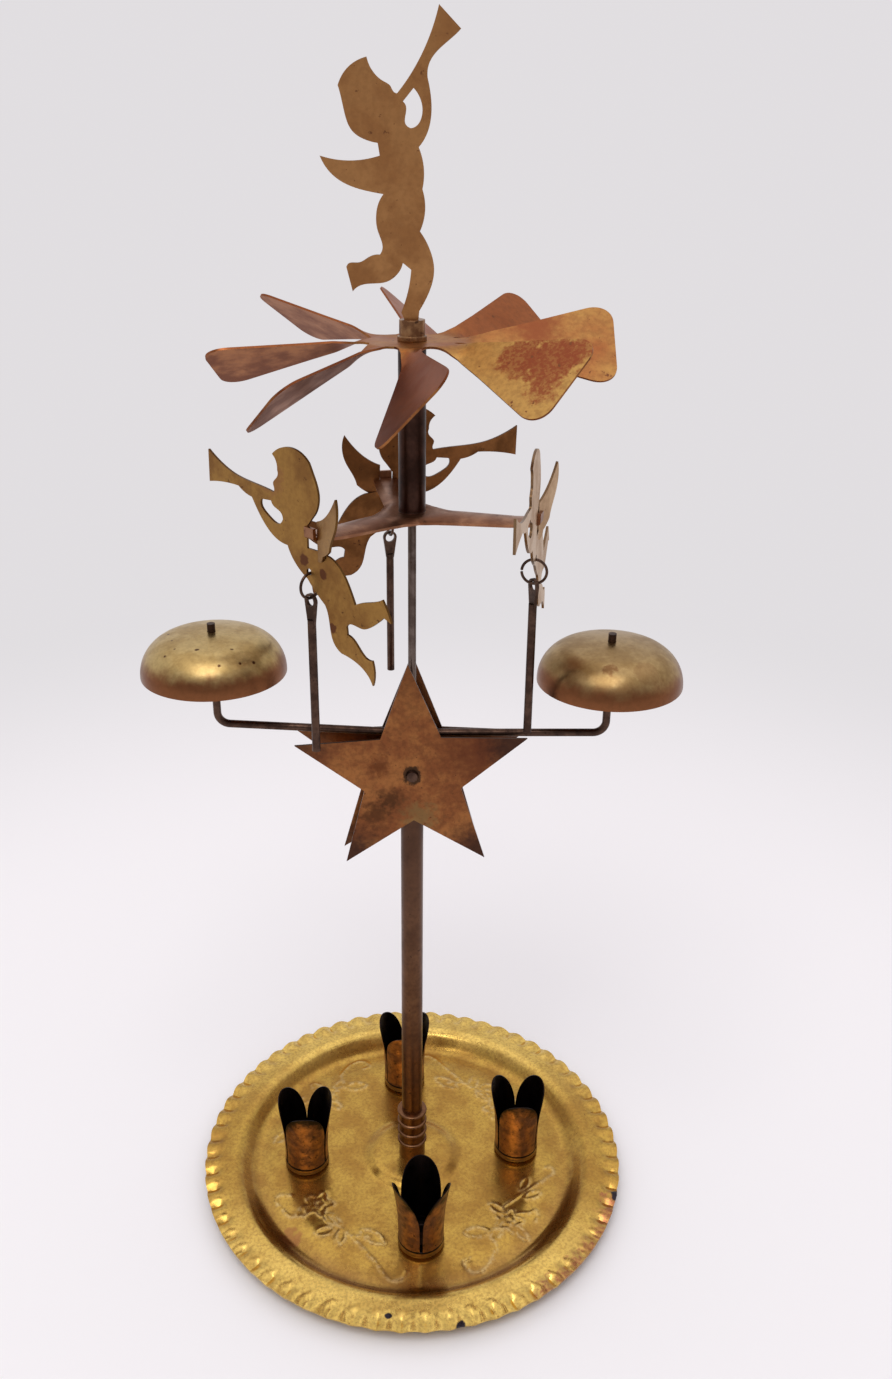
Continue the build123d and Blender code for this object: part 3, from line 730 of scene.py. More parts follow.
@dataclass
class Tray:
    """The pressed dish: boss, embossed floor, wall, flange and crimped rim."""

    radius: float = 62.5
    sheet: float = 0.7
    hole: float = 1.45
    floor: float = 1.7
    floor_end: float = 39.0
    boss_top: float = 3.3
    boss_foot: float = 13.8
    foot: tuple[float, float] = (45.8, 47.8)
    foot_floor: float = 0.7
    wall_top: float = 52.4
    flange: float = 5.6
    edge: float = 4.7
    crimps: int = 60
    crimp_start: float = 56.8
    crimp_full: float = 60.2
    crimp_height: float = 1.6
    crimp_edge: float = 0.75
    scallop: float = 0.4
    crimp_wander: float = 0.15
    crimp_unevenness: float = 0.25
    crimp_roundness: float = 0.4
    crimp_sink: float = 0.75
    scallop_start: float = 58.8
    line_height: float = 0.2
    line_half_width: float = 0.6
    bend: float = 4.0
    bend_margin: float = 1.6
    segments: int = 540
    rows: tuple[int, ...] = (26, 82, 20, 20)
    rows_below: int = 9
    rim_inset: float = 0.05
    rim_sheet: float = 0.85

    def profile(self, radius: np.ndarray) -> np.ndarray:
        """Height of the dish's top at each radius: straight runs with their bends rounded.

        Args:
            radius: radii on the dish.

        Returns:
            The height at each radius.
        """
        corners = [
            (self.hole, self.boss_top),
            (self.boss_foot - self.boss_top + self.floor, self.boss_top),
            (self.boss_foot, self.floor),
            (self.floor_end, self.floor),
            (self.foot[0], self.foot_floor),
            (self.foot[1], self.foot_floor),
            (self.wall_top, self.flange),
            (self.radius, self.edge),
        ]
        line = softened(corners, step=0.05, soften=self.bend)
        return np.interp(radius, line[:, 0], line[:, 1])

    def sprays(self) -> list[np.ndarray]:
        """The embossed lines of two flower sprays at the front, and the same half a turn round.

        Returns:
            The points of each line, as x and y.
        """
        turn = np.linspace(0.0, 2.0 * math.pi, 61)

        def rosette(x: float, y: float, size: float) -> np.ndarray:
            """A five-petalled outline: the radius swells by a quarter five times round."""
            reach = size * (1.0 + 0.25 * np.cos(5 * turn))
            return np.stack([x + reach * np.cos(turn), y + reach * np.sin(turn)], axis=-1)

        def leaf(x: float, y: float, length: float, width: float, lean: float) -> np.ndarray:
            """A leaf's outline: an ellipse drawn to a point at its ends and turned by lean degrees.

            Args:
                x: x of the leaf's middle.
                y: y of the leaf's middle.
                length: half of its length.
                width: half of its width.
                lean: the angle from X.

            Returns:
                The points of the outline.
            """
            along = length * np.cos(turn)
            across = width * np.sin(turn) * (1.0 - 0.35 * np.cos(turn) ** 2)
            angle = math.radians(lean)
            return np.stack(
                [
                    x + along * math.cos(angle) - across * math.sin(angle),
                    y + along * math.sin(angle) + across * math.cos(angle),
                ],
                axis=-1,
            )

        front = [
            flowing(
                [(-35.6, -15.9), (-39.3, -15.6), (-39.7, -18.1)]
                + [(-37.5, -21.0), (-35.0, -23.2), (-31.2, -23.5)]
            ),
            rosette(-27.2, -19.0, 3.6),
            rosette(-27.2, -19.0, 1.3),
            leaf(-31.4, -21.6, 2.6, 1.4, 40),
            leaf(-23.0, -24.6, 3.0, 1.5, -35),
            leaf(-25.0, -28.6, 2.7, 1.4, 15),
            leaf(-20.2, -30.6, 2.6, 1.3, 80),
            leaf(-11.2, -30.6, 4.0, 1.8, -35),
            flowing([(-25.6, -22.0), (-21.0, -27.0), (-17.4, -30.4), (-14.9, -33.2)]),
            flowing([(-17.4, -30.4), (-14.4, -30.4), (-12.0, -30.6)]),
            flowing(
                [(-14.9, -33.2), (-10.3, -38.8), (-7.4, -43.0)]
                + [(-4.9, -44.4), (-2.5, -43.8), (-1.4, -41.9)]
            ),
            leaf(18.4, -29.0, 3.4, 1.7, 5),
            flowing(
                [(23.4, -31.8), (23.5, -34.8), (21.3, -39.1), (18.9, -41.4)]
                + [(16.5, -41.7), (14.9, -40.1), (14.4, -38.5), (16.1, -37.5)]
            ),
            rosette(27.8, -25.0, 3.4),
            rosette(27.8, -25.0, 1.2),
            leaf(24.0, -29.4, 2.6, 1.3, 60),
            leaf(31.2, -29.0, 2.6, 1.3, -50),
            leaf(24.6, -20.6, 2.6, 1.2, -40),
            flowing([(21.8, -29.2), (24.6, -27.4), (26.4, -23.4), (26.5, -19.9)]),
            flowing([(26.5, -19.9), (33.4, -14.5), (40.0, -9.6), (42.6, -7.0), (42.2, -4.6), (40.2, -5.4)]),
            leaf(35.6, -15.6, 2.7, 1.2, 25),
            leaf(33.2, -11.6, 2.7, 1.2, 60),
            flowing([(29.5, -22.5), (33.9, -22.1), (36.0, -21.0), (36.4, -23.2), (35.7, -24.6)]),
        ]
        return front + [-run for run in front]

    def embossing(self, x: np.ndarray, y: np.ndarray) -> np.ndarray:
        """The raised lines: 1 on each run, falling off as a bell curve of the distance from it.

        Args:
            x: x of points on the tray.
            y: y of the same points.

        Returns:
            How raised each point is.
        """
        raised = np.zeros_like(x)
        margin = 4 * self.line_half_width
        for run in self.sprays():
            low, high = run.min(axis=0) - margin, run.max(axis=0) + margin
            close = (x > low[0]) & (x < high[0]) & (y > low[1]) & (y < high[1])
            away = distance_to(run, x[close], y[close])
            raised[close] = np.maximum(raised[close], np.exp(-((away / self.line_half_width) ** 2)))
        return raised

    def rings(self) -> tuple[np.ndarray, np.ndarray]:
        """The radii of the rings on the top, out to the rim, and of the fewer rings back underneath.

        Returns:
            Both runs of radii.
        """
        bends = (self.hole, self.boss_foot + self.bend_margin, self.foot[0], self.wall_top + self.bend_margin)
        ends = (*bends[1:], self.radius)
        spans = zip(bends, ends, self.rows)
        top = [np.linspace(low, high, rows, endpoint=high == self.radius) for low, high, rows in spans]
        top = np.concatenate(top)
        return top, np.concatenate([[self.radius - self.rim_inset], top[-2 :: -self.rows_below], [self.hole]])

    def crimped(self, radius: np.ndarray, angle: np.ndarray) -> tuple[np.ndarray, np.ndarray]:
        """What the crimps add to the height, and what they take off the radius between them.

        They are broad ridges, a low power of the squared cosine of half the crimps times the angle. They are
        highest just inside the rim, stand unevenly by a product of two slow sines, and draw the edge in.

        Args:
            radius: radius of each ring, as a column.
            angle: angle of each step, as a row.

        Returns:
            Both, over rings and steps.
        """
        uneven = 1.0 + self.crimp_unevenness * np.sin(7 * angle) * np.sin(3 * angle + 1.0)
        phase = 0.5 * self.crimps * angle + self.crimp_wander * np.sin(5 * angle)
        ridge = (np.cos(phase) ** 2 + 0.02) ** self.crimp_roundness
        rim = ease(radius, self.crimp_start, self.crimp_full)
        rim = rim * (1.0 - (1.0 - self.crimp_edge) * ease(radius, self.crimp_full, self.radius))
        inward = self.scallop * (ridge.max() - ridge) * ease(radius, self.scallop_start, self.radius)
        return self.crimp_height * rim * uneven * (ridge - self.crimp_sink), inward

    def build(self) -> bpy.types.Object:
        """Make the tray: the top runs out to the rim and the underside back, over radius and angle.

        The height is the profile plus the crimps plus the embossing, less the sheet underneath.

        Returns:
            The dish, with the worn mark.
        """
        top, under = self.rings()
        radius = np.concatenate([top, under])[:, None]
        lower = np.concatenate([np.zeros(len(top)), np.full(len(under), self.sheet)])[:, None]
        lower[len(top)] *= self.rim_sheet
        angle = np.linspace(0.0, 2.0 * math.pi, self.segments, endpoint=False)[None]
        raised, inward = self.crimped(radius, angle)
        drawn = radius - inward
        x, y = drawn * np.cos(angle), drawn * np.sin(angle)
        worn = np.zeros_like(x)
        seen = slice(len(top))
        worn[seen] = self.embossing(x[seen].ravel(), y[seen].ravel()).reshape(len(top), -1)
        z = self.profile(radius) - lower + raised + self.line_height * worn
        dish = Patch.grid(np.stack([x, y, z], axis=-1), around=True, closed=True, worn=worn)
        return dish.to_piece("tray_dish")

    def dress(self, piece: bpy.types.Object) -> None:
        """Golden brass with a painted highlight on the flange at front and back, a brown band in the dish that is
        partly tarnishing and partly a painted dark reflection, and red-brown stains along the right of the rim.

        Args:
            piece: the dish.
        """
        red = (0.33, 0.115, 0.062)
        ink = (0.035, 0.028, 0.035)
        rim = ((58.6, -20.6), (56.4, -26.4), (53.6, -32.0), (49.8, -37.4))
        rim += ((46.0, -42.2), (42.0, -46.6), (36.4, -50.6))
        ragged = {"core": 0.3, "ragged": 3.0, "strength": 0.85, "broken": 0.4}
        finish = TrayBrass(
            "tray brass",
            clean=(0.58, 0.36, 0.075),
            dull=(0.43, 0.235, 0.05),
            speck=(0.22, 0.105, 0.032),
            patch_size=8.0,
            dulled=(0.34, 0.66),
            mottle=0.42,
            mottle_size=0.9,
            speck_size=1.2,
            specked=(0.70, 0.75),
            polish=(0.21, 0.32),
            grain=0.008,
            brushed=(1.0, 0.35, 1.0),
            stains=(
                *(Stain((x, y, 5.0), 4.6, red, **ragged) for x, y in rim),
                Stain((59.4, -18.6, 5.0), 1.9, ink),
                Stain((12.6, -61.0, 4.5), 1.6, ink),
                Stain((-6.2, -58.4, 5.0), 1.1, ink),
                Stain((-34.5, -30.5, 1.5), 3.4, (0.32, 0.12, 0.05), ragged=3.0, strength=0.6),
            ),
        )
        place(piece, "base", Slot.TRAY, finish.material(), "tray")


@dataclass
class CandleCup:
    """A cup folded up from a three-lobed blank: a short foot and three broad petals that lean out."""

    node: str
    turns: tuple[float, ...]
    smoky: float = 0.0
    radius: float = 6.3
    sheet: float = 0.3
    foot: float = 1.72
    slit_foot: float = 4.6
    shoulder: float = 11.7
    tip: float = 25.7
    flare: float = 1.9
    flare_from: float = 7.0
    slit: float = 0.22
    tuck: float = 0.5
    foot_sheet: float = 0.48
    foot_bead: float = 0.12
    foot_corner: float = 0.9
    bead_top: float = 1.5
    well_wall: float = 1.3
    well_corner: float = 0.8
    inside_from: float = 0.47
    rivet_hole: float = 1.3
    soot: float = 1.2
    soot_from: float = 13.0
    tip_soot: float = 0.55
    side_soot: float = 0.3
    rows: int = 44
    columns: int = 21
    segments: int = 72

    def centre(self) -> tuple[float, float]:
        """The cup's axis, from the candle's mount on the same side.

        Returns:
            The axis's x and y.
        """
        name = self.node.replace("candle_cup", "candle")
        mount = next(m for m in frame["record"]["mounts"] if m["name"] == name)
        return (mount["pos_m"][0] / MM, mount["pos_m"][1] / MM)

    def petal(self, azimuth: float, half: float) -> Patch:
        """One petal: a flat closed loop of outer and inner points carried up from the foot to the tip.

        Below the shoulder the petal fills its part of the circle; above it the half-width w shrinks as an
        ellipse, w = W sqrt(1 - t squared). The radius grows with the square of the height.

        Args:
            azimuth: direction of the petal's middle.
            half: half of the petal's part of the circle.

        Returns:
            The petal as a closed surface, with the soot mark.
        """
        x, y = self.centre()
        rows = np.linspace(0.0, 1.0, self.rows)[:, None]
        start = self.slit_foot - self.tuck
        height = start + (self.tip - start) * np.sin(rows * math.pi / 2)
        rise = np.clip((height - self.shoulder) / (self.tip - self.shoulder), 0.0, 1.0)
        reach = (math.radians(half) - self.slit / self.radius) * np.sqrt(np.maximum(1.0 - rise**2, 1e-5))
        lean = np.clip((height - self.flare_from) / (self.tip - self.flare_from), 0.0, 1.0) ** 2
        there = np.linspace(-1.0, 1.0, self.columns)
        across = np.concatenate([there, there[::-1]])[None]
        side = np.repeat([0.5, -0.5], self.columns)[None]
        angle = math.radians(azimuth) + across * reach
        radius = self.radius + self.flare * lean + side * self.sheet
        x, y = x + radius * np.cos(angle), y + radius * np.sin(angle)
        points = np.stack([x, y, height + 0.0 * angle], axis=-1)
        outside = self.smoky + self.tip_soot * ease(height, self.soot_from, self.tip)
        outside = outside + self.side_soot * np.abs(across) ** 6
        body = Patch.grid(points, around=True, soot=np.where(side < 0, self.soot, outside))
        loops = points[[-1, 0]]
        ends = np.stack([loops[:, : self.columns], loops[:, : self.columns - 1 : -1]], axis=1)
        return Patch.joined([body, *(Patch.grid(end, soot=self.soot) for end in ends)])

    def build(self) -> bpy.types.Object:
        """Make the cup: a turned foot with a bead, and its petals, each halfway to its neighbours.

        Returns:
            The cup, with the soot mark.
        """
        outer, inner = self.radius + self.foot_sheet / 2, self.radius - self.foot_sheet / 2
        corners = [
            (self.rivet_hole, self.foot),
            (outer - self.foot_corner, self.foot),
            (outer + self.foot_bead, self.foot + self.foot_corner),
            (outer - self.foot_bead / 2, self.foot + self.bead_top),
            (outer, self.slit_foot),
            (inner, self.slit_foot),
            (inner, self.foot + self.well_wall),
            (inner - self.well_corner, self.foot + self.sheet),
            (self.rivet_hole, self.foot + self.sheet),
        ]
        profile = softened(corners, step=0.12, soften=0.5)
        inside = np.arange(len(profile)) > len(profile) * self.inside_from
        soot = np.where(inside, self.soot, self.smoky)
        foot = turned(profile, self.segments, self.centre(), soot=soot)
        half = 180.0 / len(self.turns)
        petals = [self.petal(turn, half) for turn in self.turns]
        return Patch.joined([foot, *petals]).to_piece(self.node + "_folded")


@dataclass
class CandleCups:
    """The four cups and the rivets that hold them, with each cup's petals turned a little differently."""

    turns: dict[str, tuple[float, ...]] = field(
        default_factory=lambda: {
            "right": (32.0, 148.0, 270.0),
            "back": (30.0, 150.0, 270.0),
            "left": (34.0, 150.0, 272.0),
            "front": (90.0, 208.0, 332.0),
        }
    )
    smoky: dict[str, float] = field(
        default_factory=lambda: {"right": 0.0, "back": -0.4, "left": 0.05, "front": 0.05}
    )

    def build(self) -> dict[str, bpy.types.Object]:
        """Make the cups, by name."""
        cups = [CandleCup(f"candle_cup_{name}", self.turns[name], self.smoky[name]) for name in self.turns]
        return {cup.node: cup.build() for cup in cups}

    def dress(self, pieces: dict[str, bpy.types.Object]) -> None:
        """Candle-heated brass for the cups and dark brass for the rivets.

        Args:
            pieces: the cups, by node.
        """
        finish = CandleBrass(
            "candle cup brass",
            clean=(0.42, 0.20, 0.10),
            dull=(0.22, 0.105, 0.06),
            speck=(0.075, 0.045, 0.034),
            patch_size=4.0,
            mottle=0.5,
            mottle_size=1.6,
            speck_size=1.2,
            specked=(0.60, 0.70),
            polish=(0.30, 0.48),
        ).material()
        for node, piece in pieces.items():
            place(piece, "base", Slot.CUP, finish, node)
        rivet = OldBrass(
            "rivet brass",
            clean=(0.08, 0.045, 0.03),
            dull=(0.04, 0.022, 0.016),
            speck=(0.02, 0.012, 0.01),
            patch_size=3.0,
        )
        dress(rivet.material(), "cup_rivets")


@dataclass
class Bell:
    """A spun bell: two tangent arcs over a short skirt, and the same set in by the wall."""

    side: str
    radius: float = 18.2
    height: float = 10.8
    wall: float = 0.8
    skirt: float = 0.3
    shoulder: float = 9.6
    hole: float = 1.08
    copper_from: float = 0.5
    copper_share: float = 0.85
    arc_steps: tuple[int, int] = (22, 26)
    segments: int = 144

    def dome(self, inset: float) -> np.ndarray:
        """Half of the section from rim to hole: an upright run, the shoulder's arc and the crown's arc.

        Args:
            inset: how far the run lies inside the bell's surface.

        Returns:
            Radius and height of each point.
        """
        reach = self.radius - self.shoulder
        drop = self.skirt - self.height
        crown = (self.shoulder**2 - reach**2 - drop**2) / (2 * (drop + self.shoulder))
        low = self.height - crown
        meeting = math.atan2(self.skirt - low, reach)
        bend = np.linspace(0.0, meeting, self.arc_steps[0])[1:]
        rise = np.linspace(meeting, math.acos(self.hole / (crown - inset)), self.arc_steps[1])[1:]
        shoulder, top = self.shoulder - inset, crown - inset
        radius = [[self.radius - inset] * 2, reach + shoulder * np.cos(bend), top * np.cos(rise)]
        height = [[0.0, self.skirt], self.skirt + shoulder * np.sin(bend), low + top * np.sin(rise)]
        return np.stack([np.concatenate(radius), np.concatenate(height)], axis=-1)

    def on_top(self, x: float, y: float) -> Point:
        """The place on the outside at this x and y from the bell's axis.

        Args:
            x: x from the axis.
            y: y from the axis.

        Returns:
            The place in the frame.
        """
        node = f"bell_{self.side}"
        outside = self.dome(0.0)[::-1]
        height = np.interp(math.hypot(x, y), outside[:, 0], outside[:, 1])
        return (middle_of(node)[0] + x, middle_of(node)[1] + y, heights_of(node)[0] + float(height))

    def build(self) -> bpy.types.Object:
        """Make the bell: its outside from rim to hole and its inside back, with the skirt mark.

        Returns:
            The bell.
        """
        outside, inside = self.dome(0.0), self.dome(self.wall)[::-1]
        profile = np.concatenate([outside, inside])
        golden = ease(outside[:, 1], self.copper_from, self.copper_share * self.height)
        skirt = np.concatenate([1.0 - golden, np.ones(len(inside))])
        profile[:, 1] += heights_of(f"bell_{self.side}")[0]
        bell = turned(profile, self.segments, middle_of(f"bell_{self.side}"), skirt=skirt)
        return bell.to_piece(f"bell_{self.side}_spun")

    def dress(self, piece: bpy.types.Object, finish: bpy.types.Material) -> None:
        """Satin gold with a coppery skirt."""
        place(piece, f"bell_{self.side}_body", Slot.BELL, finish, f"bell_{self.side}")


@dataclass
class Bells:
    """The two bells: the left one golden with dark pits, the right one duller with brown marks."""

    pits: tuple[tuple[float, float], ...] = (
        (-10.8, 0.9),
        (-9.1, -3.8),
        (-2.1, -9.6),
        (-7.7, -8.4),
        (-9.9, -9.9),
        (3.8, -14.3),
        (11.5, -10.6),
        (6.2, -8.9),
        (8.6, -12.4),
    )

    def build(self) -> list[tuple[Bell, bpy.types.Object]]:
        """Make each bell."""
        return [(bell, bell.build()) for bell in (Bell("left"), Bell("right"))]

    def stains(self, bell: Bell) -> tuple[Stain, ...]:
        """The pits of the left bell or the marks of the right one.

        Args:
            bell: the bell that is dressed.

        Returns:
            Its stains.
        """
        if bell.side == "left":
            dark = (0.09, 0.04, 0.018)
            return tuple(Stain(bell.on_top(x, y), 0.55, dark, core=0.2, ragged=2.6) for x, y in self.pits)
        brown = (0.20, 0.09, 0.035)
        return (
            Stain(bell.on_top(-10.7, -9.0), 4.4, brown, core=0.1, ragged=1.0, strength=0.75),
            Stain(bell.on_top(-2.2, -12.7), 2.2, brown, core=0.3, ragged=2.4, strength=0.8),
            Stain(bell.on_top(6.7, -12.8), 3.6, brown, core=0.85, ragged=0.7, strength=0.32),
        )

    def dress(self, bells: list[tuple[Bell, bpy.types.Object]]) -> None:
        """Satin brass, gold on the left and browner on the right.

        Args:
            bells: each bell and its piece.
        """
        tones = {
            "left": ((0.56, 0.405, 0.17), (0.45, 0.305, 0.115)),
            "right": ((0.43, 0.29, 0.125), (0.33, 0.21, 0.083)),
        }
        for bell, piece in bells:
            clean, dull = tones[bell.side]
            finish = BellBrass(
                f"{bell.side} bell brass",
                clean=clean,
                dull=dull,
                speck=(0.10, 0.045, 0.018),
                patch_size=7.0,
                mottle=0.2,
                specked=(0.80, 0.84),
                polish=(0.29, 0.38),
                dent=0.004,
                grain=0.006,
                stains=self.stains(bell),
            )
            bell.dress(piece, finish.material())


@dataclass
class Fan:
    """The fan: one sheet with a notched hub and eight blades, each turned and bent down by hand."""

    under: float = 243.2
    sheet: float = 0.5
    hole: float = 2.62
    hub: float = 10.0
    bend: float = 11.0
    twisted: float = 18.0
    flat: float = 24.0
    tip: float = 45.3
    corner: float = 6.0
    outline: tuple[tuple[float, float], ...] = (
        (10.0, 3.95),
        (10.7, 3.1),
        (11.6, 2.6),
        (12.8, 2.35),
        (16.0, 2.5),
        (24.0, 5.0),
        (45.3, 12.3),
    )
    turns: tuple[float, ...] = (40, 38, 40, 34, 28, 36, 48, 41)
    droops: tuple[float, ...] = (1, 0, -1, -3, 10, 17, 13, 6)
    warmth: tuple[float, ...] = (0.72, 0.45, 0.4, 0.3, 0.45, 0.2, 0.16, 0.95)
    hub_warmth: float = 0.72
    straight_before: float = 0.5
    warm_before: float = 2.0
    rows: tuple[int, int, int, int] = (8, 26, 14, 14)
    columns: int = 17

    def blade(self, number: int) -> Patch:
        """One eighth of the sheet, as rows s outwards and columns t across, with the warm mark.

        In the hub a row is an arc that fills its eighth of the circle. Outside it, a row is straight, of
        the outline's half-width, less what the tip's round corners take off. The blade bends down about its
        root, and each row turns about the blade's own line, more and more up to the end of the neck.

        Args:
            number: place of the blade, counter-clockwise from the right-hand one.

        Returns:
            The open patch.
        """
        corner_start = self.tip - self.corner
        reach = np.concatenate(
            [
                np.linspace(self.hole, self.hub, self.rows[0], endpoint=False),
                np.linspace(self.hub, self.flat, self.rows[1], endpoint=False),
                np.linspace(self.flat, corner_start, self.rows[2], endpoint=False),
                corner_start + self.corner * np.sin(np.linspace(0.0, math.pi / 2, self.rows[3])),
            ]
        )[:, None]
        across = np.linspace(-1.0, 1.0, self.columns)[None]
        line = softened(self.outline, step=0.1, soften=1.0)
        width = np.interp(reach, line[:, 0], line[:, 1])
        over = np.clip(reach - corner_start, 0.0, self.corner)
        width = width - (self.corner - np.sqrt(self.corner**2 - over**2))
        step = 2.0 * math.pi / len(self.turns)
        sector = 0.5 * step * across
        straight = ease(reach, self.hub - self.straight_before, self.outline[3][0])
        in_hub = reach < self.hub
        flattened = np.cos(sector) * (1 - straight) + straight
        along = reach * np.where(in_hub, np.cos(sector), flattened)
        aside = np.where(in_hub, reach * np.sin(sector), across * width)
        tilt = math.radians(self.droops[number])
        twist = math.radians(self.turns[number]) * ease(reach, self.hub, self.twisted)
        past = np.maximum(along - self.bend, 0.0)
        lifted, sideways = aside * np.sin(twist), aside * np.cos(twist)
        outward = np.minimum(along, self.bend) + past * math.cos(tilt) + lifted * math.sin(tilt)
        upward = lifted * math.cos(tilt) - past * math.sin(tilt)
        angle = step * number
        x = outward * math.cos(angle) - sideways * math.sin(angle)
        y = outward * math.sin(angle) + sideways * math.cos(angle)
        outer_share = ease(reach, self.hub - self.warm_before, self.flat)
        warm = self.hub_warmth + (self.warmth[number] - self.hub_warmth) * outer_share
        return Patch.grid(np.stack([x, y, self.under + upward], axis=-1), warm=warm)

    def build(self) -> bpy.types.Object:
        """Make the fan: eight blades welded along the hub, with the sheet's thickness."""
        blades = [self.blade(number) for number in range(len(self.turns))]
        return Patch.joined(blades).to_piece("fan_blades", sheet=self.sheet)

    def dress(self, piece: bpy.types.Object) -> None:
        """Gold to mauve by blade, and a speckled red-brown patch on the blade at the right front.

        Args:
            piece: the fan.
        """
        red = (0.25, 0.065, 0.028)
        finish = FanBrass(
            "fan brass",
            clean=(0.50, 0.29, 0.085),
            dull=(0.36, 0.15, 0.06),
            speck=(0.17, 0.066, 0.03),
            patch_size=12.0,
            mottle=0.36,
            mottle_size=1.3,
            polish=(0.32, 0.42),
            glancing=(0.88, 0.74, 0.70),
            stains=(
                Stain((23.0, -20.4, 242.8), 6.8, red, core=0.6, ragged=1.5, strength=0.95, broken=0.3),
                Stain((29.0, -24.6, 242.8), 7.6, red, core=0.6, ragged=1.5, strength=0.95, broken=0.25),
                Stain((33.6, -25.4, 245.0), 5.8, red, core=0.5, ragged=1.6, strength=0.9, broken=0.4),
                Stain((26.6, -29.6, 238.4), 5.0, red, core=0.3, ragged=2.6, strength=0.9, broken=0.45),
                Stain((28.0, 3.0, 246.0), 9.0, (0.25, 0.075, 0.032), core=0.1, ragged=1.4, strength=0.9),
            ),
        )
        place(piece, "carousel", Slot.SHEET, finish.material(), "fan")


@dataclass
class Spider:
    """The three-armed sheet: arched arms with round roots, each with a tab folded up outside its angel."""

    under: float = 203.9
    sheet: float = 0.8
    hole: float = 2.95
    arms: int = 3
    turn: float = -17.0
    arch: float = 1.3
    arch_half_width: float = 5.4
    arch_from: tuple[float, float] = (5.0, 10.0)
    arch_fades: float = 24.0
    arch_loss: float = 0.5
    rise: float = 0.3
    rise_from: tuple[float, float] = (3.0, 12.0)
    outline: tuple[tuple[float, float], ...] = ((7.4, 6.4), (8.2, 5.4), (9.1, 4.85), (29.2, 3.35))
    tab: tuple[tuple[float, float], ...] = ((27.6, 0.1), (30.6, 0.1), (31.15, 0.5), (31.2, 2.9))
    tab_half_width: float = 1.6
    tab_columns: int = 7
    rows: tuple[int, int] = (8, 40)
    columns: int = 25
    root_sine: float = 0.866

    def arm(self, azimuth: float) -> Patch:
        """One third of the sheet: rows are arcs about the axis, which fall as the square of the place aside.

        Args:
            azimuth: direction of the arm.

        Returns:
            The open patch.
        """
        edge = softened(self.outline, step=0.1, soften=1.2)
        root, end = self.outline[0][0], self.outline[-1][0]
        hub = np.linspace(self.hole, root, self.rows[0], endpoint=False)
        radius = np.concatenate([hub, np.linspace(root, end, self.rows[1])])[:, None]
        across = np.linspace(-1.0, 1.0, self.columns)[None]
        half = np.interp(radius, edge[:, 0], edge[:, 1])
        narrow = np.arcsin(np.minimum(half / radius, self.root_sine))
        reach = np.where(radius < root, math.pi / self.arms, narrow)
        angle = math.radians(azimuth) + across * reach
        aside = radius * np.sin(across * reach)
        arched = ease(radius, *self.arch_from) * (1.0 - self.arch_loss * ease(radius, self.arch_fades, end))
        drop = self.arch * (aside / self.arch_half_width) ** 2 * arched
        height = self.under + self.rise * ease(radius, *self.rise_from) - drop
        return Patch.grid(np.stack([radius * np.cos(angle), radius * np.sin(angle), height], axis=-1))

    def fold(self, azimuth: float) -> Patch:
        """The tab: a strip carried out from the arm's end and folded up.

        Args:
            azimuth: direction of the arm.

        Returns:
            The open patch.
        """
        line = softened(self.tab, step=0.15, soften=0.6)
        across = np.linspace(-self.tab_half_width, self.tab_half_width, self.tab_columns)[None]
        angle = math.radians(azimuth)
        out = line[:, :1]
        x = out * math.cos(angle) - across * math.sin(angle)
        y = out * math.sin(angle) + across * math.cos(angle)
        return Patch.grid(np.stack([x, y, self.under + line[:, 1:] + 0.0 * across], axis=-1))

    def build(self) -> bpy.types.Object:
        """Make the spider: three arms welded round the hole, three tabs and the sheet's thickness.

        Returns:
            The spider.
        """
        azimuths = [self.turn + 360.0 / self.arms * number for number in range(self.arms)]
        patches = [self.arm(azimuth) for azimuth in azimuths] + [self.fold(azimuth) for azimuth in azimuths]
        return Patch.joined(patches).to_piece("spider_arms", sheet=self.sheet)

    def dress(self, piece: bpy.types.Object) -> None:
        """Brown brass with a coppery cast.

        Args:
            piece: the spider.
        """
        finish = OldBrass(
            "spider brass",
            clean=(0.37, 0.18, 0.095),
            dull=(0.25, 0.108, 0.056),
            speck=(0.12, 0.05, 0.026),
            patch_size=8.0,
            mottle=0.25,
            polish=(0.30, 0.40),
        )
        place(piece, "carousel", Slot.SHEET, finish.material(), "spider")


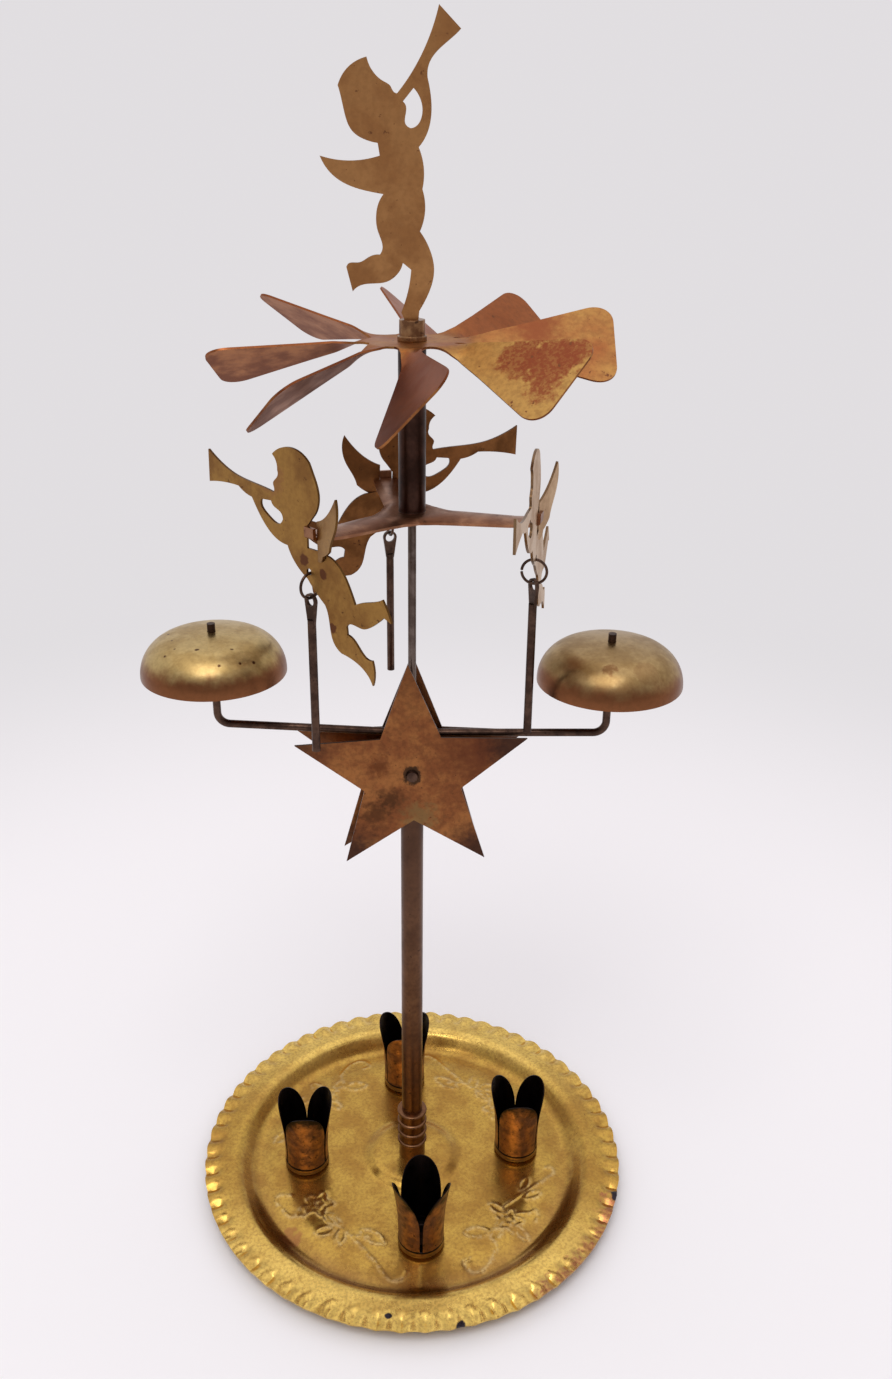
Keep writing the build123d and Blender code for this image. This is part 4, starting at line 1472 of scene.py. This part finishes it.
@dataclass
class Strikers:
    """The wire pieces: split rings, and the rods, crossbar and rivet that keep their solids."""

    sides: tuple[str, ...] = ("right", "back", "left")
    wire: float = 0.34
    gap: float = 3.0
    steps: int = 110
    section_steps: int = 14

    def ring(self, side: str) -> bpy.types.Object:
        """A hoop about the solid's middle, bent round until its ends nearly meet.

        The centre line is radius times (outward cos a + up sin a), from one side of the gap round to the
        other, and a round section is carried along it and closed at both ends.

        Args:
            side: the ring's side.

        Returns:
            The ring.
        """
        node = f"ring_{side}"
        low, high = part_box(node)
        centre = np.array((low + high) / 2) / MM
        radius = (high.z - low.z) / 2 / MM - self.wire
        axis = hinge_axis(f"{node}_swing")
        outward, up = np.cross(axis, (0.0, 0.0, 1.0)), np.array([0.0, 0.0, 1.0])
        gap = math.radians(self.gap)
        turn = np.linspace(gap / 2, 2 * math.pi - gap / 2, self.steps)[:, None, None]
        section = np.linspace(0.0, 2 * math.pi, self.section_steps, endpoint=False)[None, :, None]
        width = np.full((self.steps, 1, 1), self.wire)
        width[[0, -1]] = 0.0
        away = np.cos(turn) * outward + np.sin(turn) * up
        points = centre + radius * away + width * (np.cos(section) * away + np.sin(section) * axis)
        return Patch.grid(points, around=True).to_piece(f"{node}_wire")

    def build(self) -> dict[str, bpy.types.Object]:
        """Make the rings, by node."""
        return {f"ring_{side}": self.ring(side) for side in self.sides}

    def dress(self, rings: dict[str, bpy.types.Object]) -> None:
        """Dark brown wire.

        Args:
            rings: the rings, by node.
        """
        finish = OldBrass(
            "wire brass",
            clean=(0.105, 0.06, 0.042),
            dull=(0.06, 0.034, 0.025),
            speck=(0.03, 0.018, 0.014),
            patch_size=4.0,
            polish=(0.32, 0.45),
        ).material()
        for node, ring in rings.items():
            place(ring, f"{node}_body", Slot.WIRE, finish, node)
        dress(finish, "crossbar", "star_rivet", *(f"striker_{side}" for side in self.sides))


@dataclass
class Pole:
    """The turned pieces on the axis: ferrule, pole, needle, carousel tube and top collar."""

    radius: float = 3.0
    bore: float = 2.4
    ferrule_radius: float = 3.9
    ferrule_floor: float = 2.5
    ring_pitch: float = 3.7
    ring_bulge: float = 0.5
    rings: int = 4
    screw_hole: float = 1.5
    needle_radius: float = 1.0
    needle_point: float = 4.0
    tube_radius: float = 3.2
    tube_bore: float = 2.6
    lip_radius: float = 3.7
    collar_radius: float = 2.9
    flange_radius: float = 3.3
    flange: float = 1.0
    collar: float = 4.5
    lip: float = 0.5
    lip_slope: float = 1.0
    socket_gap: float = 0.02
    ferrule_steps: int = 220
    segments: int = 72
    needle_segments: int = 40

    def ferrule_line(self) -> np.ndarray:
        """The ferrule's section: a straight side with half-round rings, and the socket inside.

        Returns:
            Radius and height of each corner.
        """
        low, high = heights_of("pole_ferrule")
        height = np.linspace(low, high, self.ferrule_steps)
        rings = high - self.ring_bulge - self.ring_pitch * np.arange(self.rings)[:, None]
        bulge = np.sqrt(np.maximum(self.ring_bulge**2 - (height - rings) ** 2, 0.0)).max(axis=0)
        outside = np.stack([self.ferrule_radius + bulge, height], axis=-1)
        socket, floor = self.radius + self.socket_gap, low + self.ferrule_floor
        inside = [(socket, high), (socket, floor), (self.screw_hole, floor), (self.screw_hole, low)]
        return np.concatenate([outside, inside])

    def tube_line(self) -> np.ndarray:
        """The carousel tube's section: a straight tube with a lip at its foot.

        Returns:
            Radius and height of each point.
        """
        low, high = heights_of("carousel_tube")
        corners = [
            (self.tube_bore, high),
            (self.tube_radius, high),
            (self.tube_radius, low + self.lip + self.lip_slope),
            (self.lip_radius, low + self.lip),
            (self.lip_radius, low),
            (self.tube_bore, low),
        ]
        return softened(corners, step=0.15, soften=0.3)

    def collar_line(self) -> np.ndarray:
        """The collar's section above the fan: a short drum on a flange.

        Returns:
            Radius and height of each point.
        """
        top = heights_of("top_collar")[1]
        foot = top - self.collar
        corners = [
            (0.0, top),
            (self.collar_radius, top),
            (self.collar_radius, foot + self.flange),
            (self.flange_radius, foot + self.flange),
            (self.flange_radius, foot),
            (0.0, foot),
        ]
        return softened(corners, step=0.08, soften=0.3)

    def build(self) -> dict[str, bpy.types.Object]:
        """Make each piece by turning its section about the axis.

        Returns:
            The pieces, by node.
        """
        low, high = heights_of("pole_tube")
        wall = [(self.bore, low), (self.radius, low), (self.radius, high), (self.bore, high)]
        end, point = heights_of("needle")
        taper = point - self.needle_point
        shaft = [(0.0, end), (self.needle_radius, end), (self.needle_radius, taper), (0.0, point)]
        needle = turned(np.array(shaft), self.needle_segments, closed=False)
        collar = turned(self.collar_line(), self.segments, closed=False)
        return {
            "pole_ferrule": turned(self.ferrule_line(), self.segments).to_piece("ferrule_turned"),
            "pole_tube": turned(np.array(wall), self.segments).to_piece("pole_drawn"),
            "needle": needle.to_piece("needle_ground"),
            "carousel_tube": turned(self.tube_line(), self.segments).to_piece("carousel_tube_drawn"),
            "top_collar": collar.to_piece("collar_turned"),
        }

    def dress(self, pieces: dict[str, bpy.types.Object]) -> None:
        """Dark brown brass, with grey steel for the needle.

        Args:
            pieces: the pieces, by node.
        """
        drawn = (1.0, 1.0, 0.12)
        burnt = Stain((0.0, 0.0, 130.0), 90.0, (0.065, 0.035, 0.026), core=0.25, ragged=0.15, strength=0.7)
        brown = OldBrass(
            "pole brass",
            clean=(0.20, 0.095, 0.046),
            dull=(0.13, 0.06, 0.03),
            speck=(0.05, 0.026, 0.016),
            patch_size=14.0,
            polish=(0.30, 0.42),
            brushed=drawn,
            stains=(burnt,),
        ).material()
        dark = OldBrass(
            "carousel tube brass",
            clean=(0.06, 0.028, 0.02),
            dull=(0.032, 0.015, 0.011),
            speck=(0.02, 0.012, 0.01),
            patch_size=9.0,
            polish=(0.30, 0.42),
            brushed=drawn,
        ).material()
        collar = OldBrass(
            "collar brass",
            clean=(0.34, 0.19, 0.09),
            dull=(0.19, 0.092, 0.045),
            speck=(0.09, 0.045, 0.026),
            patch_size=3.0,
        ).material()
        steel = OldBrass(
            "needle steel",
            clean=(0.17, 0.13, 0.112),
            dull=(0.11, 0.08, 0.067),
            speck=(0.08, 0.05, 0.035),
            patch_size=5.0,
        ).material()
        place(pieces["pole_ferrule"], "base", Slot.POLE, brown, "pole_ferrule")
        place(pieces["pole_tube"], "base", Slot.POLE, brown, "pole_tube")
        place(pieces["needle"], "base", Slot.STEEL, steel, "needle")
        place(pieces["carousel_tube"], "carousel", Slot.POLE, dark, "carousel_tube")
        place(pieces["top_collar"], "carousel", Slot.POLE, collar, "top_collar")
        dress(steel, "needle_plug", "ferrule_screw", "pivot_cup")


@dataclass
class Figures:
    """The cut sheet pieces that keep their solids: the star plates and the four angels."""

    upright_grain: Point = (1.0, 1.0, 0.15)

    def dress(self) -> None:
        """Give each plate its own tone."""
        burnt = (0.045, 0.022, 0.017)
        star = OldBrass(
            "star brass",
            clean=(0.33, 0.132, 0.044),
            dull=(0.24, 0.084, 0.032),
            speck=(0.08, 0.034, 0.018),
            patch_size=8.0,
            mottle=0.34,
            speck_size=0.9,
            specked=(0.66, 0.72),
            polish=(0.34, 0.46),
            facing=(0.0, 1.0, 0.0),
            # Darker cut edges: partly tarnishing and partly painted shade.
            edge_tarnish_and_shade=(0.07, 0.036, 0.022),
            stains=(
                Stain((-8.5, -3.5, 138.0), 3.6, (0.13, 0.042, 0.016), core=0.2, ragged=3.0, strength=0.7),
                Stain((-9.5, -3.5, 124.0), 6.0, (0.09, 0.036, 0.016), core=0.1, ragged=2.4, strength=0.8),
                Stain((17.0, -3.5, 142.0), 13.0, (0.12, 0.036, 0.018), core=0.1, ragged=0.8, strength=0.8),
                Stain((30.0, -3.5, 146.0), 15.0, burnt, core=0.4, ragged=0.6, strength=0.9),
                Stain((-30.0, -3.5, 146.0), 15.0, burnt, core=0.1, ragged=0.6, strength=0.7),
                Stain((-18.0, -3.5, 108.0), 17.0, burnt, core=0.3, ragged=0.6, strength=0.9),
                Stain((20.0, -3.5, 109.0), 17.0, burnt, core=0.3, ragged=0.6, strength=0.9),
                Stain((-5.5, -3.5, 128.5), 5.0, (0.075, 0.032, 0.015), core=0.1, ragged=2.2, strength=0.85),
                Stain((0.0, -3.5, 172.0), 24.0, (0.10, 0.035, 0.016), core=0.1, ragged=0.5, strength=0.6),
                Stain((2.0, -3.5, 123.0), 6.5, (0.22, 0.14, 0.055), core=0.1, ragged=2.4, strength=0.7),
                Stain((0.0, -3.5, 135.4), 3.0, (0.06, 0.03, 0.016)),
            ),
        ).material()
        dress(star, "star_front", "star_back")
        top = OldBrass(
            "top angel brass",
            clean=(0.48, 0.235, 0.088),
            dull=(0.38, 0.175, 0.064),
            speck=(0.20, 0.085, 0.036),
            patch_size=10.0,
            mottle=0.2,
            facing=(0.0, 1.0, 0.0),
            polish=(0.34, 0.46),
            brushed=self.upright_grain,
        ).material()
        dress(top, "top_angel")
        spot = (0.13, 0.048, 0.02)
        left_spots = (
            Stain((-24.0, -18.5, 198.7), 1.7, spot),
            Stain((-19.6, -22.6, 196.6), 1.3, spot),
            Stain((-17.6, -24.5, 184.3), 1.4, spot),
            Stain((-31.5, -11.6, 216.0), 5.0, (0.30, 0.13, 0.05), ragged=2.0, strength=0.5),
        )
        tones = {
            "left": ((0.36, 0.19, 0.05), (0.27, 0.13, 0.036), (0.12, 0.05, 0.018), left_spots),
            "back": ((0.25, 0.102, 0.034), (0.15, 0.06, 0.02), (0.07, 0.03, 0.014), ()),
            "right": ((0.57, 0.38, 0.215), (0.45, 0.275, 0.145), (0.22, 0.11, 0.05), ()),
        }
        for name, (clean, dull, speck, stains) in tones.items():
            forward = hinge_axis(f"ring_{name}_swing")
            finish = OldBrass(
                f"{name} angel brass",
                clean=clean,
                dull=dull,
                speck=speck,
                patch_size=10.0,
                mottle=0.2,
                facing=(-forward[1], forward[0], 0.0),
                # Darker cut edges: partly tarnishing and partly painted shade.
                edge_tarnish_and_shade=tuple(0.5 * c for c in dull),
                polish=(0.34, 0.46),
                brushed=self.upright_grain,
                stains=stains,
            )
            dress(finish.material(), f"angel_{name}")


@dataclass(frozen=True)
class Studio:
    """The camera at the photograph's view, a pale floor, a soft lamp and a pale surround."""

    eye: Point = (0.0, -274.8, 282.9)
    pitch: float = 24.41
    focal_pixels: float = 1195.0
    axis_pixel: float = 412.1
    sensor: float = 36.0
    floor_tone: Colour = (0.89, 0.872, 0.882)
    surround_tone: Colour = (0.755, 0.732, 0.752)
    floor_fade: tuple[float, float] = (190.0, 500.0)
    floor_reach: float = 6000.0
    floor_drop: float = 0.02
    floor_roughness: float = 0.9
    dim_behind: float = 0.56
    dim_from: tuple[float, float] = (-0.9, 0.35)
    bright_above: float = 0.55
    bright_from: tuple[float, float] = (0.5, 0.95)
    lamp_place: Point = (-180.0, -620.0, 1400.0)
    lamp_target: Point = (0.0, 0.0, 100.0)
    lamp_size: float = 800.0
    lamp_power: float = 6.2

    def camera(self) -> None:
        """Make the camera: lens from the focal length in pixels, shifted to the photograph's framing."""
        data = bpy.data.cameras.new("camera")
        data.sensor_width = self.sensor
        data.lens = self.focal_pixels / max(PHOTO_SIZE) * self.sensor
        data.shift_x = (PHOTO_SIZE[0] / 2 - self.axis_pixel) / max(PHOTO_SIZE)
        camera = bpy.data.objects.new("camera", data)
        camera.location = tuple(MM * c for c in self.eye)
        camera.rotation_euler = (math.radians(90.0 - self.pitch), 0.0, 0.0)
        bpy.context.scene.collection.objects.link(camera)
        bpy.context.scene.camera = camera

    def floor(self) -> None:
        """Make the floor: a level sheet that takes the shadow, and far back shows the surround's tone."""
        edge = np.linspace(-self.floor_reach, self.floor_reach, 5)
        x, y = np.meshgrid(edge, edge)
        level = np.full_like(x, -self.floor_drop)
        piece = Patch.grid(np.stack([x, y, level], axis=-1)).to_piece("floor")
        paint = Paint("floor")
        paint.put(paint.shader.inputs["Base Color"], self.floor_tone)
        paint.put(paint.shader.inputs["Roughness"], self.floor_roughness)
        paint.put(paint.shader.inputs["Specular IOR Level"], 0.0)
        far = paint.share(paint.from_axis(), *(MM * radius for radius in self.floor_fade))
        glow = paint.add("ShaderNodeEmission", {"Color": self.surround_tone, "Strength": 1.0})
        seen = paint.seen("Is Camera Ray", "Is Glossy Ray", "Is Transmission Ray")
        share = paint.sum("MULTIPLY", far, seen)
        surface = paint.add("ShaderNodeMixShader", {0: share, 1: paint.shader.outputs[0], 2: glow})
        paint.put(paint.tree.nodes["Material Output"].inputs["Surface"], surface)
        piece.data.materials.append(paint.material)

    def surround(self) -> None:
        """Make the surround: one tone to the camera; as light, dimmer behind it and brighter above."""
        world = bpy.data.worlds.new("surround")
        bpy.context.scene.world = world
        nodes = Nodes(world)
        aim = nodes.tree.nodes.new("ShaderNodeTexCoord").outputs["Generated"]
        back = nodes.add("ShaderNodeSeparateXYZ", {0: aim}, output=1)
        up = nodes.add("ShaderNodeSeparateXYZ", {0: aim}, output=2)
        light = nodes.level(nodes.share(back, *self.dim_from), self.dim_behind, 1.0)
        above = nodes.sum("MULTIPLY", nodes.share(up, *self.bright_from), self.bright_above)
        light = nodes.sum("ADD", light, above)
        strength = nodes.add("ShaderNodeMix", {0: nodes.seen("Is Camera Ray"), 2: light, 3: 1.0})
        background = nodes.tree.nodes["Background"]
        nodes.put(background.inputs["Color"], self.surround_tone)
        nodes.put(background.inputs["Strength"], strength)

    def lamp(self) -> None:
        """Hang one large soft lamp in front and above, turned to face its target."""
        data = bpy.data.lights.new("soft lamp", "AREA")
        data.size = self.lamp_size * MM
        data.energy = self.lamp_power
        lamp = bpy.data.objects.new("soft lamp", data)
        away = (np.array(self.lamp_target) - np.array(self.lamp_place)) * MM
        lamp.location = tuple(MM * c for c in self.lamp_place)
        tilt = math.atan2(math.hypot(away[0], away[1]), -away[2])
        lamp.rotation_euler = (tilt, 0.0, math.atan2(away[1], away[0]) - math.pi / 2)
        bpy.context.scene.collection.objects.link(lamp)

    def build(self) -> None:
        """Set up the whole studio with plain view settings."""
        bpy.context.scene.view_settings.view_transform = "Standard"
        self.camera()
        self.floor()
        self.surround()
        self.lamp()


def main() -> None:
    """Build the sub-assemblies in order."""
    logging.basicConfig(level=logging.INFO)
    Studio().build()
    for assembly in (Tray(), CandleCups(), Pole(), Bells(), Strikers(), Fan(), Spider()):
        assembly.dress(assembly.build())
    Figures().dress()


if __name__ == "__main__":
    main()
